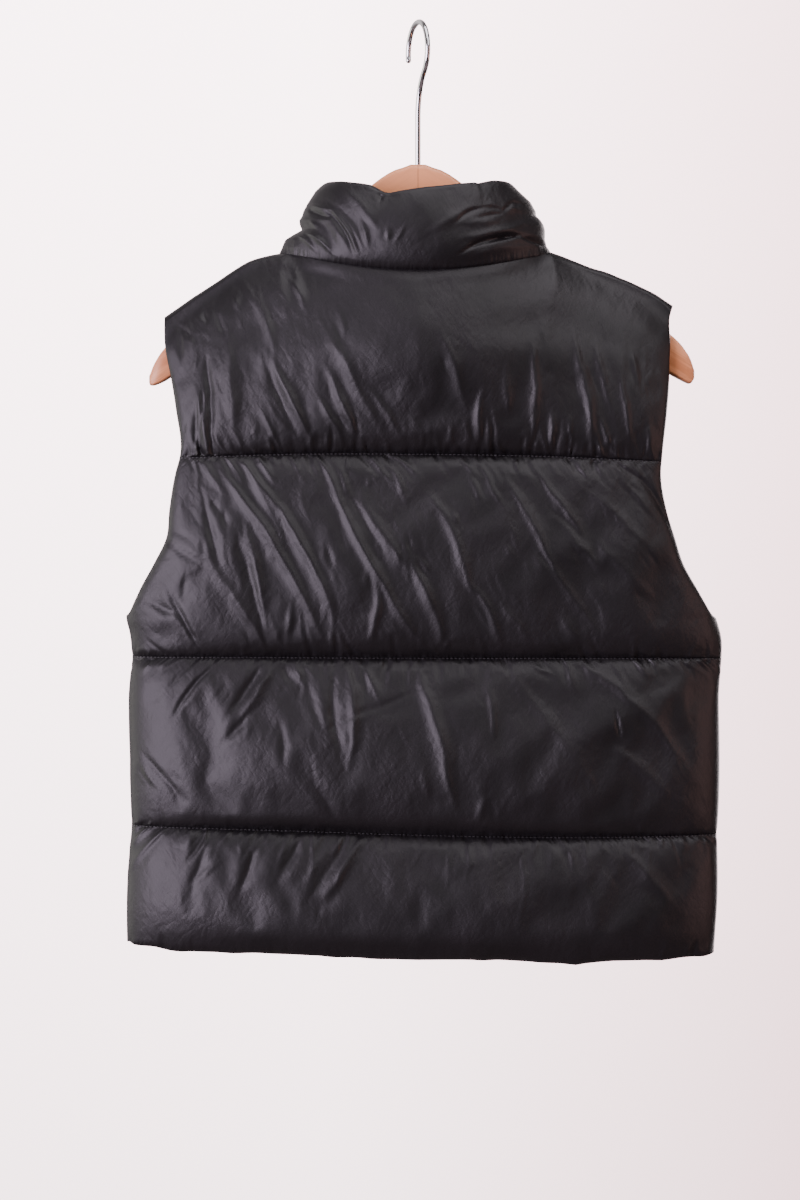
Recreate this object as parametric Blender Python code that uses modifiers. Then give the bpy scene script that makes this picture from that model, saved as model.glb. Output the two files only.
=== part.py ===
"""A child's puffer vest, zipped up, on a curved wooden hanger with a wire hook.

Metres, +Z up. The origin is the inside top of the hook's crown, where a rail carries it. The vest's
back faces -Y and its fronts face +Y, so +X is the wearer's right. Every cloth piece is a closed wall:
a grid of points on its plain inside, and the same grid moved out by the quilting's thickness.
"""

import math
from collections import namedtuple

import bmesh
import bpy
import numpy as np
from mathutils import Matrix, Vector

# Walls
SEAM_GAP = 0.0003
SEAM_WALL = 0.003
HEM_WALL = 0.0055

# Neck and shoulders, all on the inner face
NECK_HALF_WIDTH = 0.083
NECK_HALF_DEPTH = 0.030
NECK_SIDE_Z = -0.148
BACK_NECK_DROP = 0.009
FRONT_NECK_DROP = 0.052
NECK_CURVE = 1.8
SHOULDER_TILT = math.radians(28)
CROWN_HALF_WIDTH = 0.0075
CROWN_DROP = 0.005
CROWN_REACH = 0.025
NECK_SPREAD_WIDTH = 0.115
NECK_SPREAD_DROP = 0.030

# Depth of the hanging body, from its middle plane to the inner face
BODY_HALF_DEPTH = 0.017
BODY_ROUNDNESS = 3
ARMHOLE_HALF_GAP = 0.015
ARMHOLE_ROUND = 0.007
ARMHOLE_REACH = 0.050
UNDERARM = 0.79  # its place down the second channel

# Quilting
TOP_FILL = 0.019
SIDE_REACH = 0.040
CENTRE_REACH = 0.024
BELLY = 0.62  # how far down a channel its fill is thickest

# Collar
COLLAR_TOP_HALF_WIDTH = 0.055
COLLAR_BACK_TOP_Z = -0.1083
COLLAR_SIDE_TOP_Z = -0.103
COLLAR_FRONT_TOP_Z = -0.143
COLLAR_FILL = 0.0105
COLLAR_LEAN = 0.55

# Zip
CENTRE_EDGE = 0.005
TAPE_INNER_X = 0.0031
TAPE_OUTER_X = 0.013
TAPE_BACK = 0.0015
TAPE_FRONT = 0.0005
CHAIN_HALF_WIDTH = 0.0028
CHAIN_BACK = 0.0013
CHAIN_FRONT = 0.0011
CHAIN_TOP_Z = -0.1478

# Slider and pull tab
SLIDER_TOP_Z = -0.1442
SLIDER_LENGTH = 0.012
SLIDER_WIDTH = 0.0086
SLIDER_PLATE = 0.0012
SLIDER_CLEARANCE = 0.0003
SLIDER_POST_WIDTH = 0.005
SLIDER_POST_LENGTH = 0.003
SLIDER_BEVEL = 0.0003
BAIL_WIRE = 0.0006
BAIL_HALF_LENGTH = 0.0030
BAIL_RISE = 0.0036
TAB_AXIS_OUT = 0.0015
TAB_AXIS_DOWN = 0.0009
TAB_WIDTH = 0.0048
TAB_LENGTH = 0.024
TAB_THICKNESS = 0.0012
TAB_EYE_WIDTH = 0.0022
TAB_EYE_START = 0.0006
TAB_EYE_LENGTH = 0.004
TAB_CORNER = 0.0018

# Hanger
HANGER_HALF_THICKNESS = 0.006
HANGER_SQUARENESS = 0.5
HOOK_WIRE = 0.00175
HOOK_BEND = 0.017
HOOK_TURN = math.radians(-71)
HOOK_STEM_TOP_Z = -0.060
HOOK_HOLE_DEPTH = 0.018
HOOK_JOIN = math.radians(-50)
HOOK_END = math.radians(190)

# Grid sizes
NECK_COLUMNS = 11
SHOULDER_COLUMNS = 7
CROWN_ROWS = 3
TOP_ROWS = 8
ROWS_ABOVE_UNDERARM = 8
ROWS_BELOW_UNDERARM = 3
LOWER_ROWS = 7
COLLAR_ROWS = 10

# Half-widths of the inner face on the wearer's left (-X) and right (+X), from shoulders to hem
Edge = namedtuple("Edge", "z left right")
EDGES = (
    Edge(-0.1830, 0.1610, 0.1594),
    Edge(-0.2090, 0.1600, 0.1592),
    Edge(-0.2310, 0.1564, 0.1584),
    Edge(-0.2460, 0.1540, 0.1572),
    Edge(-0.2765, 0.1512, 0.1538),
    Edge(-0.2870, 0.1540, 0.1530),
    Edge(-0.3110, 0.1580, 0.1566),
    Edge(-0.3290, 0.1600, 0.1620),
    Edge(-0.3450, 0.1678, 0.1672),
    Edge(-0.3635, 0.1776, 0.1774),
    Edge(-0.3780, 0.1826, 0.1850),
    Edge(-0.3885, 0.1806, 0.1886),
    Edge(-0.4320, 0.1810, 0.1876),
    Edge(-0.4710, 0.1802, 0.1874),
    Edge(-0.5110, 0.1802, 0.1870),
    Edge(-0.5670, 0.1816, 0.1852),
    Edge(-0.5970, 0.1800, 0.1822),
)

# Height of the shoulder seam on the inner face
Shoulder = namedtuple("Shoulder", "x left right")
SHOULDERS = (
    Shoulder(0.083, -0.1480, -0.1480),
    Shoulder(0.105, -0.1538, -0.1570),
    Shoulder(0.125, -0.1660, -0.1655),
    Shoulder(0.145, -0.1795, -0.1745),
    Shoulder(0.161, -0.1905, -0.1838),
)

# Height of each quilting line and the hem, from the left side seam to the right one
Line = namedtuple("Line", "left mid_left centre mid_right right")
LINES = (
    Line(-0.2775, -0.2752, -0.2752, -0.2765, -0.2800),
    Line(-0.4038, -0.4040, -0.4045, -0.4045, -0.4050),
    Line(-0.5114, -0.5135, -0.5165, -0.5180, -0.5172),
    Line(-0.5865, -0.5912, -0.5940, -0.5968, -0.5928),
)

# The channels under the top one: fill thickness, and wall at the lower edge
Channel = namedtuple("Channel", "fill lower_wall")
LOWER_CHANNELS = (
    Channel(0.022, SEAM_WALL),
    Channel(0.022, SEAM_WALL),
    Channel(0.020, HEM_WALL),
)

# The largest folds, as soft troughs from one end to the other
Fold = namedtuple("Fold", "x z end_x end_z depth width")
BACK_FOLDS = (
    Fold(-0.118, -0.206, -0.100, -0.262, 0.0030, 0.008),
    Fold(-0.066, -0.190, -0.034, -0.258, 0.0024, 0.008),
    Fold(0.070, -0.182, 0.086, -0.262, 0.0024, 0.009),
    Fold(0.116, -0.190, 0.134, -0.255, 0.0022, 0.008),
    Fold(-0.132, -0.300, -0.106, -0.345, 0.0024, 0.009),
    Fold(-0.080, -0.298, -0.026, -0.388, 0.0028, 0.009),
    Fold(-0.020, -0.296, 0.014, -0.386, 0.0026, 0.009),
    Fold(0.042, -0.300, 0.086, -0.388, 0.0028, 0.010),
    Fold(0.118, -0.322, 0.168, -0.388, 0.0024, 0.009),
    Fold(-0.096, -0.420, -0.060, -0.464, 0.0024, 0.009),
    Fold(-0.010, -0.422, 0.020, -0.488, 0.0028, 0.009),
    Fold(0.050, -0.430, 0.068, -0.496, 0.0022, 0.009),
    Fold(0.130, -0.424, 0.178, -0.492, 0.0022, 0.010),
    Fold(-0.130, -0.526, -0.158, -0.562, 0.0020, 0.009),
    Fold(-0.060, -0.530, -0.040, -0.566, 0.0020, 0.009),
    Fold(0.060, -0.530, 0.082, -0.572, 0.0020, 0.010),
)
FRONT_FOLDS = (
    Fold(0.062, -0.200, 0.044, -0.256, 0.0026, 0.009),
    Fold(0.124, -0.204, 0.110, -0.262, 0.0024, 0.008),
    Fold(0.036, -0.300, 0.070, -0.384, 0.0026, 0.010),
    Fold(0.110, -0.304, 0.128, -0.372, 0.0024, 0.009),
    Fold(0.052, -0.424, 0.034, -0.490, 0.0024, 0.010),
    Fold(0.118, -0.428, 0.142, -0.488, 0.0024, 0.009),
    Fold(0.080, -0.532, 0.094, -0.572, 0.0020, 0.010),
)

# Half of the back, or one front: its upper edge, and what each of its columns is worked out from
Half = namedtuple("Half", "side facing top top_facing across fade")

# The wooden hanger's outline on one side
Arm = namedtuple("Arm", "x top bottom")
ARMS = (
    Arm(0.000, -0.0896, -0.1320),
    Arm(0.016, -0.0936, -0.1335),
    Arm(0.029, -0.1022, -0.1368),
    Arm(0.050, -0.1222, -0.1488),
    Arm(0.070, -0.1440, -0.1622),
    Arm(0.085, -0.1552, -0.1732),
    Arm(0.105, -0.1615, -0.1856),
    Arm(0.125, -0.1668, -0.1976),
    Arm(0.140, -0.1780, -0.2090),
    Arm(0.152, -0.1890, -0.2198),
    Arm(0.160, -0.2000, -0.2266),
    Arm(0.168, -0.2150, -0.2308),
    Arm(0.1715, -0.2235, -0.2304),
    Arm(0.1734, -0.2285, -0.2296),
)
ARM_STATIONS = 26
ARM_SIDES = 8
ARM_FLAT = math.radians(14)


def column(table, name):
    """One named column of a table of rows."""
    return np.array([getattr(row, name) for row in table])


def smooth(t):
    """A soft step from 0 to 1."""
    t = np.clip(t, 0, 1)
    return t * t * (3 - 2 * t)


def quarter_arc(t):
    """A quarter circle's rise from 0 to 1, upright at its start."""
    return np.sqrt(1 - (1 - np.clip(t, 0, 1)) ** 2)


def unit(vectors):
    return vectors / np.linalg.norm(vectors, axis=-1, keepdims=True)


def spaced(count):
    """count + 1 places from 0 to 1, closest together at both ends."""
    return (1 - np.cos(np.linspace(0, math.pi, count + 1))) / 2


def side_name(side):
    return "left" if side < 0 else "right"


def through(at, places, values):
    """A smooth curve through a table's points, level past its ends."""
    places, values = np.asarray(places, float), np.asarray(values, float)
    slopes = np.gradient(values, places)
    start = np.clip(np.searchsorted(places, at) - 1, 0, len(places) - 2)
    step = places[start + 1] - places[start]
    t = np.clip((at - places[start]) / step, 0, 1)
    leaving = slopes[start] * step * t * (1 - t) ** 2
    arriving = slopes[start + 1] * step * t**2 * (1 - t)
    return values[start] + (values[start + 1] - values[start]) * smooth(t) + leaving - arriving


def half_width(z, side):
    """From the middle to the inner face's edge at a height."""
    return through(-z, -column(EDGES, "z"), column(EDGES, side_name(side)))


def shoulder_tip(side):
    return half_width(EDGES[0].z, side)


def line_height(line, across):
    """A quilting line's height, across from -1 at the left seam to 1 at the right one."""
    return through(across, np.linspace(-1, 1, len(line)), line)


def underarm_height(side):
    upper, lower = (line_height(line, side) for line in LINES[:2])
    return upper + (lower - upper) * UNDERARM


def armhole_gap(z, side):
    """From the middle plane to the armhole's edge: nothing below the underarm."""
    above = z - underarm_height(side)
    gap = ARMHOLE_ROUND * quarter_arc(above / ARMHOLE_ROUND)
    return gap + (ARMHOLE_HALF_GAP - ARMHOLE_ROUND) * smooth(above / ARMHOLE_REACH)


def body_depth(z, across, side):
    """From the middle plane to the inner face, as a flat lens that opens at the armhole."""
    gap = armhole_gap(z, side)
    crown = (BODY_HALF_DEPTH**2 - gap**2) * (1 - np.abs(across) ** BODY_ROUNDNESS)
    return np.sqrt(gap**2 + crown)


def body_direction(z, across, side, facing):
    """Which way the lens faces: facing -1 on the back and 1 on a front."""
    gap = armhole_gap(z, side)
    steepness = (BODY_HALF_DEPTH**2 - gap**2) * BODY_ROUNDNESS / 2
    outward = side * steepness * np.abs(across) ** (BODY_ROUNDNESS - 1)
    forward = facing * body_depth(z, across, side) * half_width(z, side)
    return unit(np.stack([outward, forward, np.zeros_like(outward)], axis=-1))


def fullness(down, softness):
    """A channel's fill from its upper seam (0) to its lower one (1), heaviest near the bottom."""
    rise = np.sin(math.pi / 2 * np.clip(down / BELLY, 0, 1)) ** softness
    below_belly = np.clip((down - BELLY) / (1 - BELLY), 0, 1)
    return rise * np.sqrt(1 - below_belly**2)


def fold_depth(folds, x, z):
    """How far the folds sink the outer face at each point."""
    sunk = np.zeros_like(x)
    for fold in folds:
        run = np.array([fold.end_x - fold.x, fold.end_z - fold.z])
        along = ((x - fold.x) * run[0] + (z - fold.z) * run[1]) / (run @ run)
        along = np.clip(along, 0, 1)
        off = np.hypot(x - fold.x - along * run[0], z - fold.z - along * run[1])
        sunk += fold.depth * np.exp(-((off / fold.width) ** 2))
    return sunk


def neck_ring(centre, drop):
    """The neck seam from the centre out to the shoulder seam, and which way its wall faces."""
    turn = np.linspace(0, math.pi / 2, NECK_COLUMNS + 1)
    across, forward = np.sin(turn), np.cos(turn)
    x = centre + (NECK_HALF_WIDTH - centre) * across
    y = NECK_HALF_DEPTH * forward
    z = NECK_SIDE_Z - drop * forward**NECK_CURVE
    return np.stack([x, y, z], axis=-1), unit(np.stack([across, forward, across**2], axis=-1))


def shoulder_seam(side):
    """The shoulder seam from the neck out to its tip, and which way its wall faces."""
    out = np.sin(np.linspace(0, math.pi / 2, SHOULDER_COLUMNS + 1))[1:]
    x = NECK_HALF_WIDTH + (shoulder_tip(side) - NECK_HALF_WIDTH) * out
    z = through(x, column(SHOULDERS, "x"), column(SHOULDERS, side_name(side)))
    facing = np.array([math.sin(SHOULDER_TILT), 0, math.cos(SHOULDER_TILT)])
    return np.stack([x, np.zeros_like(x), z], axis=-1), np.tile(facing, (len(x), 1))


def edge_fade(x, centre, tip):
    """How much of its fill a panel has near its side and, on a front, near its zip edge."""
    fade = quarter_arc((tip - x) / SIDE_REACH)
    return fade * quarter_arc((x - centre) / CENTRE_REACH) if centre else fade


def top_channel(half):
    """The rows over the hanger's crown and down to the first quilting line."""
    top = half.top
    first_line = line_height(LINES[0], half.across)
    height = top[:, 2] - first_line
    crown = CROWN_DROP * (1 - np.cos(np.linspace(0, math.pi / 2, CROWN_ROWS + 1)))
    below = CROWN_DROP + spaced(TOP_ROWS)[1:, None] * (height - CROWN_DROP)
    dropped = np.concatenate([np.tile(crown[:, None], len(top)), below])
    down = dropped / height
    z = top[:, 2] - dropped

    spread = 1 - smooth(top[:, 0] / NECK_SPREAD_WIDTH)
    spread = CROWN_HALF_WIDTH + (NECK_HALF_DEPTH - CROWN_HALF_WIDTH) * spread
    reach = np.maximum(CROWN_HALF_WIDTH, top[:, 1])
    reach = reach + (spread - reach) * smooth(dropped / NECK_SPREAD_DROP)
    tuck = CROWN_HALF_WIDTH - np.minimum(CROWN_HALF_WIDTH, top[:, 1])
    tuck = tuck * (1 - quarter_arc(dropped / CROWN_DROP))
    at_line = body_depth(first_line, half.across, half.side)
    depth = reach + (at_line - reach) * smooth(down) - tuck

    turned = 1 - smooth(dropped / CROWN_REACH)[..., None]
    body = body_direction(z, half.across, half.side, half.facing)
    direction = unit(body * (1 - turned) + half.top_facing * turned)
    wall = SEAM_WALL + (TOP_FILL - SEAM_WALL) * fullness(down, 1.0) * half.fade
    return z, depth, direction, wall, down


def lower_channel(half, place):
    """The rows from one quilting line to the next or to the hem, without the first."""
    channel = LOWER_CHANNELS[place]
    if place == 0:
        below = np.sin(np.linspace(0, math.pi / 2, ROWS_BELOW_UNDERARM + 1))[1:]
        above = spaced(ROWS_ABOVE_UNDERARM)[1:]
        down = np.concatenate([UNDERARM * above, UNDERARM + (1 - UNDERARM) * below])
    else:
        down = spaced(LOWER_ROWS)[1:]
    down = down[:, None]
    start, end = (line_height(line, half.across) for line in LINES[place : place + 2])
    z = start + (end - start) * down
    thin = SEAM_WALL + (channel.lower_wall - SEAM_WALL) * down
    wall = thin + (channel.fill - thin) * fullness(down, 0.7) * half.fade
    depth = body_depth(z, half.across, half.side)
    direction = body_direction(z, half.across, half.side, half.facing)
    return z, depth, direction, wall, np.broadcast_to(down, z.shape)


def half_panel(side, facing, centre, drop, folds):
    """Inner and outer points of the half of the vest on one side, back (-1) or front (1).

    Rows run from the neck and shoulder down to the hem, and columns from the centre out.
    """
    neck, neck_facing = neck_ring(centre, drop)
    seam, seam_facing = shoulder_seam(side)
    top = np.concatenate([neck, seam])
    top_facing = np.concatenate([neck_facing, seam_facing]) * (side, facing, 1)
    tip = shoulder_tip(side)
    share = (top[:, 0] - centre) / (tip - centre)
    fade = edge_fade(top[:, 0], centre, tip)
    half = Half(side, facing, top, top_facing, side * share, fade)
    channels = [top_channel(half), *(lower_channel(half, place) for place in range(3))]
    z, depth, direction, wall, down = (np.concatenate(rows) for rows in zip(*channels))
    x = side * (centre + (half_width(z, side) - centre) * share)
    y = facing * np.maximum(depth, SEAM_GAP / 2)
    inner = np.stack([x, y, z], axis=-1)
    sunk = fold_depth(folds, x, z) * fullness(down, 1.0) * fade
    return inner, inner + direction * (wall - sunk)[..., None]


def back_points():
    """Both halves of the back, from the left side to the right."""
    halves = [half_panel(side, -1, 0, BACK_NECK_DROP, BACK_FOLDS) for side in (-1, 1)]
    return [
        np.concatenate([left[:, :0:-1], right], axis=1) for left, right in zip(*halves)
    ]


def front_points(side):
    """One front. Its folds mirror those of the other front."""
    folds = [fold._replace(x=side * fold.x, end_x=side * fold.end_x) for fold in FRONT_FOLDS]
    return half_panel(side, 1, CENTRE_EDGE, FRONT_NECK_DROP, folds)


def quarter_collar(side, facing, centre, drop, top_z):
    """Inner and outer points of a quarter of the collar, top row first, from its centre out."""
    ring, ring_facing = neck_ring(centre, drop)
    up = 1 - spaced(COLLAR_ROWS)[:, None]
    narrowing = (COLLAR_TOP_HALF_WIDTH - NECK_HALF_WIDTH) * up**COLLAR_LEAN
    across = (ring[:, 0] - centre) / (NECK_HALF_WIDTH - centre)
    x = ring[:, 0] + narrowing * across
    y = np.broadcast_to(ring[:, 1], x.shape)
    base = ring[:, 2] + SEAM_GAP
    top = top_z + (COLLAR_SIDE_TOP_Z - top_z) * across**2
    z = base + (top - base) * up
    inner = np.stack([x, y, z], axis=-1) * (side, facing, 1)
    lift = np.ones((len(up), 1, 3)) * (1, 1, 0)
    lift[..., 2] = (1 - up) ** 2
    direction = unit(ring_facing * lift) * (side, facing, 1)
    rise = quarter_arc((ring[:, 0] - centre) / CENTRE_REACH) if centre else 1
    wall = SEAM_WALL + (COLLAR_FILL - SEAM_WALL) * fullness(1 - up, 0.5) * rise
    wall = np.broadcast_to(wall, x.shape)
    return inner, inner + direction * wall[..., None]


def collar_points():
    """The whole collar, from the left front edge round the back to the right front edge."""
    front = (1, CENTRE_EDGE, FRONT_NECK_DROP, COLLAR_FRONT_TOP_Z)
    back = (-1, 0, BACK_NECK_DROP, COLLAR_BACK_TOP_Z)
    left_front, left_back, right_back, right_front = (
        quarter_collar(side, *quarter)
        for side, quarter in ((-1, front), (-1, back), (1, back), (1, front))
    )
    return [
        np.concatenate([a[:, :-1], b[:, :0:-1], c[:, :-1], d[:, ::-1]], axis=1)
        for a, b, c, d in zip(left_front, left_back, right_back, right_front)
    ]


def inner_path(x):
    """The fronts' and the collar's inner face at x, from the collar's top to the hem."""
    side = -1 if x < 0 else 1
    collar = quarter_collar(side, 1, CENTRE_EDGE, FRONT_NECK_DROP, COLLAR_FRONT_TOP_Z)[0]
    rows = [*collar, *front_points(side)[0][1:]]
    return np.array(
        [[x, *(np.interp(abs(x), abs(row[:, 0]), row[:, axis]) for axis in (1, 2))] for row in rows]
    )


def strip_points(left_x, right_x, behind, before, top_z=COLLAR_FRONT_TOP_Z):
    """A strip along the centre front, from a depth behind the inner face to one before it."""
    paths = [inner_path(x) for x in (left_x, right_x)]
    kept = sum(paths[0][:, 2] < top_z - SEAM_GAP)
    edges = []
    for path in paths:
        top_y = np.interp(-top_z, -path[:, 2], path[:, 1])
        edges.append(np.concatenate([[(path[0, 0], top_y, top_z)], path[-kept:]]))
    edges = np.stack(edges, axis=1)
    return edges - (0, behind, 0), edges + (0, before, 0)


def tape_points(side):
    ends = sorted((side * TAPE_INNER_X, side * TAPE_OUTER_X))
    return strip_points(*ends, TAPE_BACK, -TAPE_FRONT)


def chain_points():
    ends = (-CHAIN_HALF_WIDTH, CHAIN_HALF_WIDTH)
    return strip_points(*ends, CHAIN_BACK, CHAIN_FRONT, CHAIN_TOP_Z)


def hanger_points():
    """The hanger's back and front halves, from its left tip to its right one."""
    arm_x = column(ARMS, "x")
    half = np.sin(np.linspace(0, math.pi / 2, ARM_STATIONS + 1)) * arm_x[-1]
    x = np.concatenate([-half[:0:-1], half])
    top = through(np.abs(x), arm_x, column(ARMS, "top"))
    bottom = through(np.abs(x), arm_x, column(ARMS, "bottom"))
    turn = np.linspace(math.pi / 2 - ARM_FLAT, ARM_FLAT - math.pi / 2, ARM_SIDES + 1)[:, None]
    height = np.sign(np.sin(turn)) * np.abs(np.sin(turn)) ** HANGER_SQUARENESS
    z = (top + bottom) / 2 + (top - bottom) / 2 * height
    thickness = np.minimum(HANGER_HALF_THICKNESS, (top - bottom) / 2 + 0.001)
    y = thickness * np.cos(turn) ** HANGER_SQUARENESS
    x = np.broadcast_to(x, z.shape)
    return [np.stack([x, facing * y, z], axis=-1) for facing in (-1, 1)]


def hook_points():
    """The hook's centre line in its own plane: up the stem, out, and over the crown."""
    radius = HOOK_BEND + HOOK_WIRE
    bend = np.linspace(HOOK_JOIN, HOOK_END, 33)
    crown = np.stack([radius * np.cos(bend), radius * np.sin(bend) - HOOK_BEND], axis=-1)
    hole_end = ARMS[0].top - HOOK_HOLE_DEPTH + SEAM_GAP
    stem = np.array([(0, hole_end), (0, HOOK_STEM_TOP_Z)])
    leaving = np.array([-math.sin(HOOK_JOIN), math.cos(HOOK_JOIN)])
    handles = [stem[1], stem[1] + (0, 0.012), crown[0] - 0.010 * leaving, crown[0]]
    ramp = np.linspace(0, 1, 9)[1:-1, None]
    weights = ((1 - ramp) ** 3, 3 * ramp * (1 - ramp) ** 2, 3 * ramp**2 * (1 - ramp), ramp**3)
    sweep = sum(weight * handle for weight, handle in zip(weights, handles))
    flat = np.concatenate([stem, sweep, crown])
    return [Vector((u * math.cos(HOOK_TURN), u * math.sin(HOOK_TURN), z)) for u, z in flat]


def add_object(name, mesh, collection, location=(0, 0, 0)):
    obj = bpy.data.objects.new(name, mesh)
    obj.location = location
    collection.objects.link(obj)
    return obj


def add_wall(name, faces, collection):
    """A closed wall between two grids of points: one grid, extruded from the first to the second."""
    inner, outer = faces
    rows, columns = inner.shape[:2]
    shape = bmesh.new()
    bmesh.ops.create_grid(shape, x_segments=columns - 1, y_segments=rows - 1, size=1)
    sheet = shape.verts[:]
    raised = bmesh.ops.extrude_face_region(shape, geom=shape.faces[:], use_keep_orig=True)
    lifted = [item for item in raised["geom"] if isinstance(item, bmesh.types.BMVert)]
    for verts, points in ((sheet, inner), (lifted, outer)):
        for vert in verts:
            row = round((1 - vert.co.y) / 2 * (rows - 1))
            vert.co = points[row, round((vert.co.x + 1) / 2 * (columns - 1))]
    bmesh.ops.recalc_face_normals(shape, faces=shape.faces[:])
    mesh = bpy.data.meshes.new(name)
    shape.to_mesh(mesh)
    shape.free()
    mesh.shade_smooth()
    mesh.set_sharp_from_angle(angle=math.radians(60))
    return add_object(name, mesh, collection)


def add_box(name, size, centre, collection):
    shape = bmesh.new()
    placed = Matrix.Translation(centre) @ Matrix.Diagonal((*size, 1))
    bmesh.ops.create_cube(shape, size=1, matrix=placed)
    mesh = bpy.data.meshes.new(name)
    shape.to_mesh(mesh)
    shape.free()
    return add_object(name, mesh, collection)


def add_cylinder(name, radius, depth, centre, collection):
    shape = bmesh.new()
    bmesh.ops.create_cone(
        shape, cap_ends=True, segments=24, radius1=radius, radius2=radius, depth=depth,
        matrix=Matrix.Translation(centre),
    )
    mesh = bpy.data.meshes.new(name)
    shape.to_mesh(mesh)
    shape.free()
    return add_object(name, mesh, collection)


def add_wire(name, points, radius, collection):
    """A round wire along a list of points."""
    curve = bpy.data.curves.new(name, "CURVE")
    curve.dimensions = "3D"
    curve.bevel_depth = radius
    curve.bevel_resolution = 2
    curve.use_fill_caps = True
    spline = curve.splines.new("POLY")
    spline.points.add(len(points) - 1)
    for spot, point in zip(spline.points, points):
        spot.co = (*point, 1)
    return add_object(name, curve, collection)


def made_mesh(curve_object, collection):
    """A curve object turned into a mesh object with welded caps."""
    graph = bpy.context.evaluated_depsgraph_get()
    mesh = bpy.data.meshes.new_from_object(curve_object.evaluated_get(graph))
    shape = bmesh.new()
    shape.from_mesh(mesh)
    bmesh.ops.remove_doubles(shape, verts=shape.verts[:], dist=1e-6)
    shape.to_mesh(mesh)
    shape.free()
    name = curve_object.name
    placed = curve_object.matrix_world.copy()
    bpy.data.objects.remove(curve_object)
    obj = add_object(name, mesh, collection)
    obj.matrix_world = placed
    return obj


def add_boolean(obj, other, operation):
    boolean = obj.modifiers.new(other.name, "BOOLEAN")
    boolean.object = other
    boolean.operation = operation


def add_bevel(obj, width, segments=2):
    bevel = obj.modifiers.new("soft_edges", "BEVEL")
    bevel.width = width
    bevel.segments = segments
    bevel.limit_method = "ANGLE"


def slider_face_y():
    """The front of the slider's upper plate."""
    return NECK_HALF_DEPTH + CHAIN_FRONT + SLIDER_CLEARANCE + SLIDER_PLATE


def tab_axis():
    middle_z = SLIDER_TOP_Z - SLIDER_LENGTH / 2
    return Vector((0, slider_face_y() + TAB_AXIS_OUT, middle_z - TAB_AXIS_DOWN))


def build_slider(parts, cutters):
    """Two plates on a post, with a wire bail on the front one."""
    middle_z = SLIDER_TOP_Z - SLIDER_LENGTH / 2
    front_y = slider_face_y()
    back_y = NECK_HALF_DEPTH - TAPE_BACK - SLIDER_CLEARANCE - SLIDER_PLATE
    plate = (SLIDER_WIDTH, SLIDER_PLATE, SLIDER_LENGTH)
    slider = add_box("zip_slider", plate, (0, front_y - SLIDER_PLATE / 2, middle_z), parts)
    lower = add_box("slider_back_plate", plate, (0, back_y + SLIDER_PLATE / 2, middle_z), cutters)
    post = add_box(
        "slider_post",
        (SLIDER_POST_WIDTH, front_y - back_y - SLIDER_PLATE, SLIDER_POST_LENGTH),
        (0, (front_y + back_y) / 2, SLIDER_TOP_Z - SLIDER_POST_LENGTH / 2),
        cutters,
    )
    turn = np.linspace(0, math.pi, 13)
    rise = BAIL_RISE * np.sin(turn)
    arch = [
        Vector((0, front_y + out, middle_z + BAIL_HALF_LENGTH * math.cos(angle)))
        for angle, out in zip(turn, rise)
    ]
    sunk = Vector((0, SLIDER_PLATE / 2, 0))
    bail = add_wire("slider_bail", [arch[0] - sunk, *arch, arch[-1] - sunk], BAIL_WIRE, cutters)
    bail = made_mesh(bail, cutters)
    add_bevel(slider, SLIDER_BEVEL)
    for piece in (lower, post, bail):
        add_boolean(slider, piece, "UNION")
    return slider


def build_pull_tab(parts, cutters):
    """A flat tab that hangs from the bail. Its origin is on its hinge's axis."""
    half = TAB_THICKNESS / 2
    size = (TAB_WIDTH, TAB_THICKNESS, TAB_LENGTH + half)
    tab = add_box("zip_pull_tab", size, (0, 0, (half - TAB_LENGTH) / 2), parts)
    tab.location = tab_axis()
    eye_centre = (0, 0, -TAB_EYE_START - TAB_EYE_LENGTH / 2)
    eye = add_box("tab_eye", (TAB_EYE_WIDTH, 2 * TAB_THICKNESS, TAB_EYE_LENGTH), eye_centre, cutters)
    eye.parent = tab
    round_corners(tab, TAB_CORNER)
    add_boolean(tab, eye, "DIFFERENCE")
    add_bevel(tab, SLIDER_BEVEL, 1)
    return tab


def round_corners(tab, radius):
    """Rounds the two lower corners of the tab's flat outline."""
    shape = bmesh.new()
    shape.from_mesh(tab.data)
    lowest = min(vert.co.z for vert in shape.verts)
    corners = [
        edge
        for edge in shape.edges
        if all(vert.co.z < lowest + 1e-5 for vert in edge.verts)
        and abs(edge.verts[0].co.x - edge.verts[1].co.x) < 1e-6
    ]
    bmesh.ops.bevel(shape, geom=corners, offset=radius, segments=3, affect="EDGES", profile=0.5)
    shape.to_mesh(tab.data)
    shape.free()


def build_hanger(parts, cutters):
    """The wooden arms with a blind hole, and the wire hook that stands in it."""
    arms = add_wall("hanger_arms", hanger_points(), parts)
    hole_top = ARMS[0].top
    hole = add_cylinder(
        "hook_hole",
        HOOK_WIRE + SEAM_GAP,
        2 * HOOK_HOLE_DEPTH,
        (0, 0, hole_top),
        cutters,
    )
    add_boolean(arms, hole, "DIFFERENCE")
    hook = add_wire("hanger_hook", hook_points(), HOOK_WIRE, parts)
    return arms, hook


def finish(obj, name, colour, roughness, metallic=0.0):
    """Gives the object its own material."""
    material = bpy.data.materials.new(name)
    material.use_nodes = True
    shader = material.node_tree.nodes["Principled BSDF"]
    shader.inputs["Base Color"].default_value = (*colour, 1)
    shader.inputs["Roughness"].default_value = roughness
    shader.inputs["Metallic"].default_value = metallic
    obj.data.materials.clear()
    obj.data.materials.append(material)


def new_collection(name):
    collection = bpy.data.collections.new(name)
    bpy.context.scene.collection.children.link(collection)
    return collection


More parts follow.
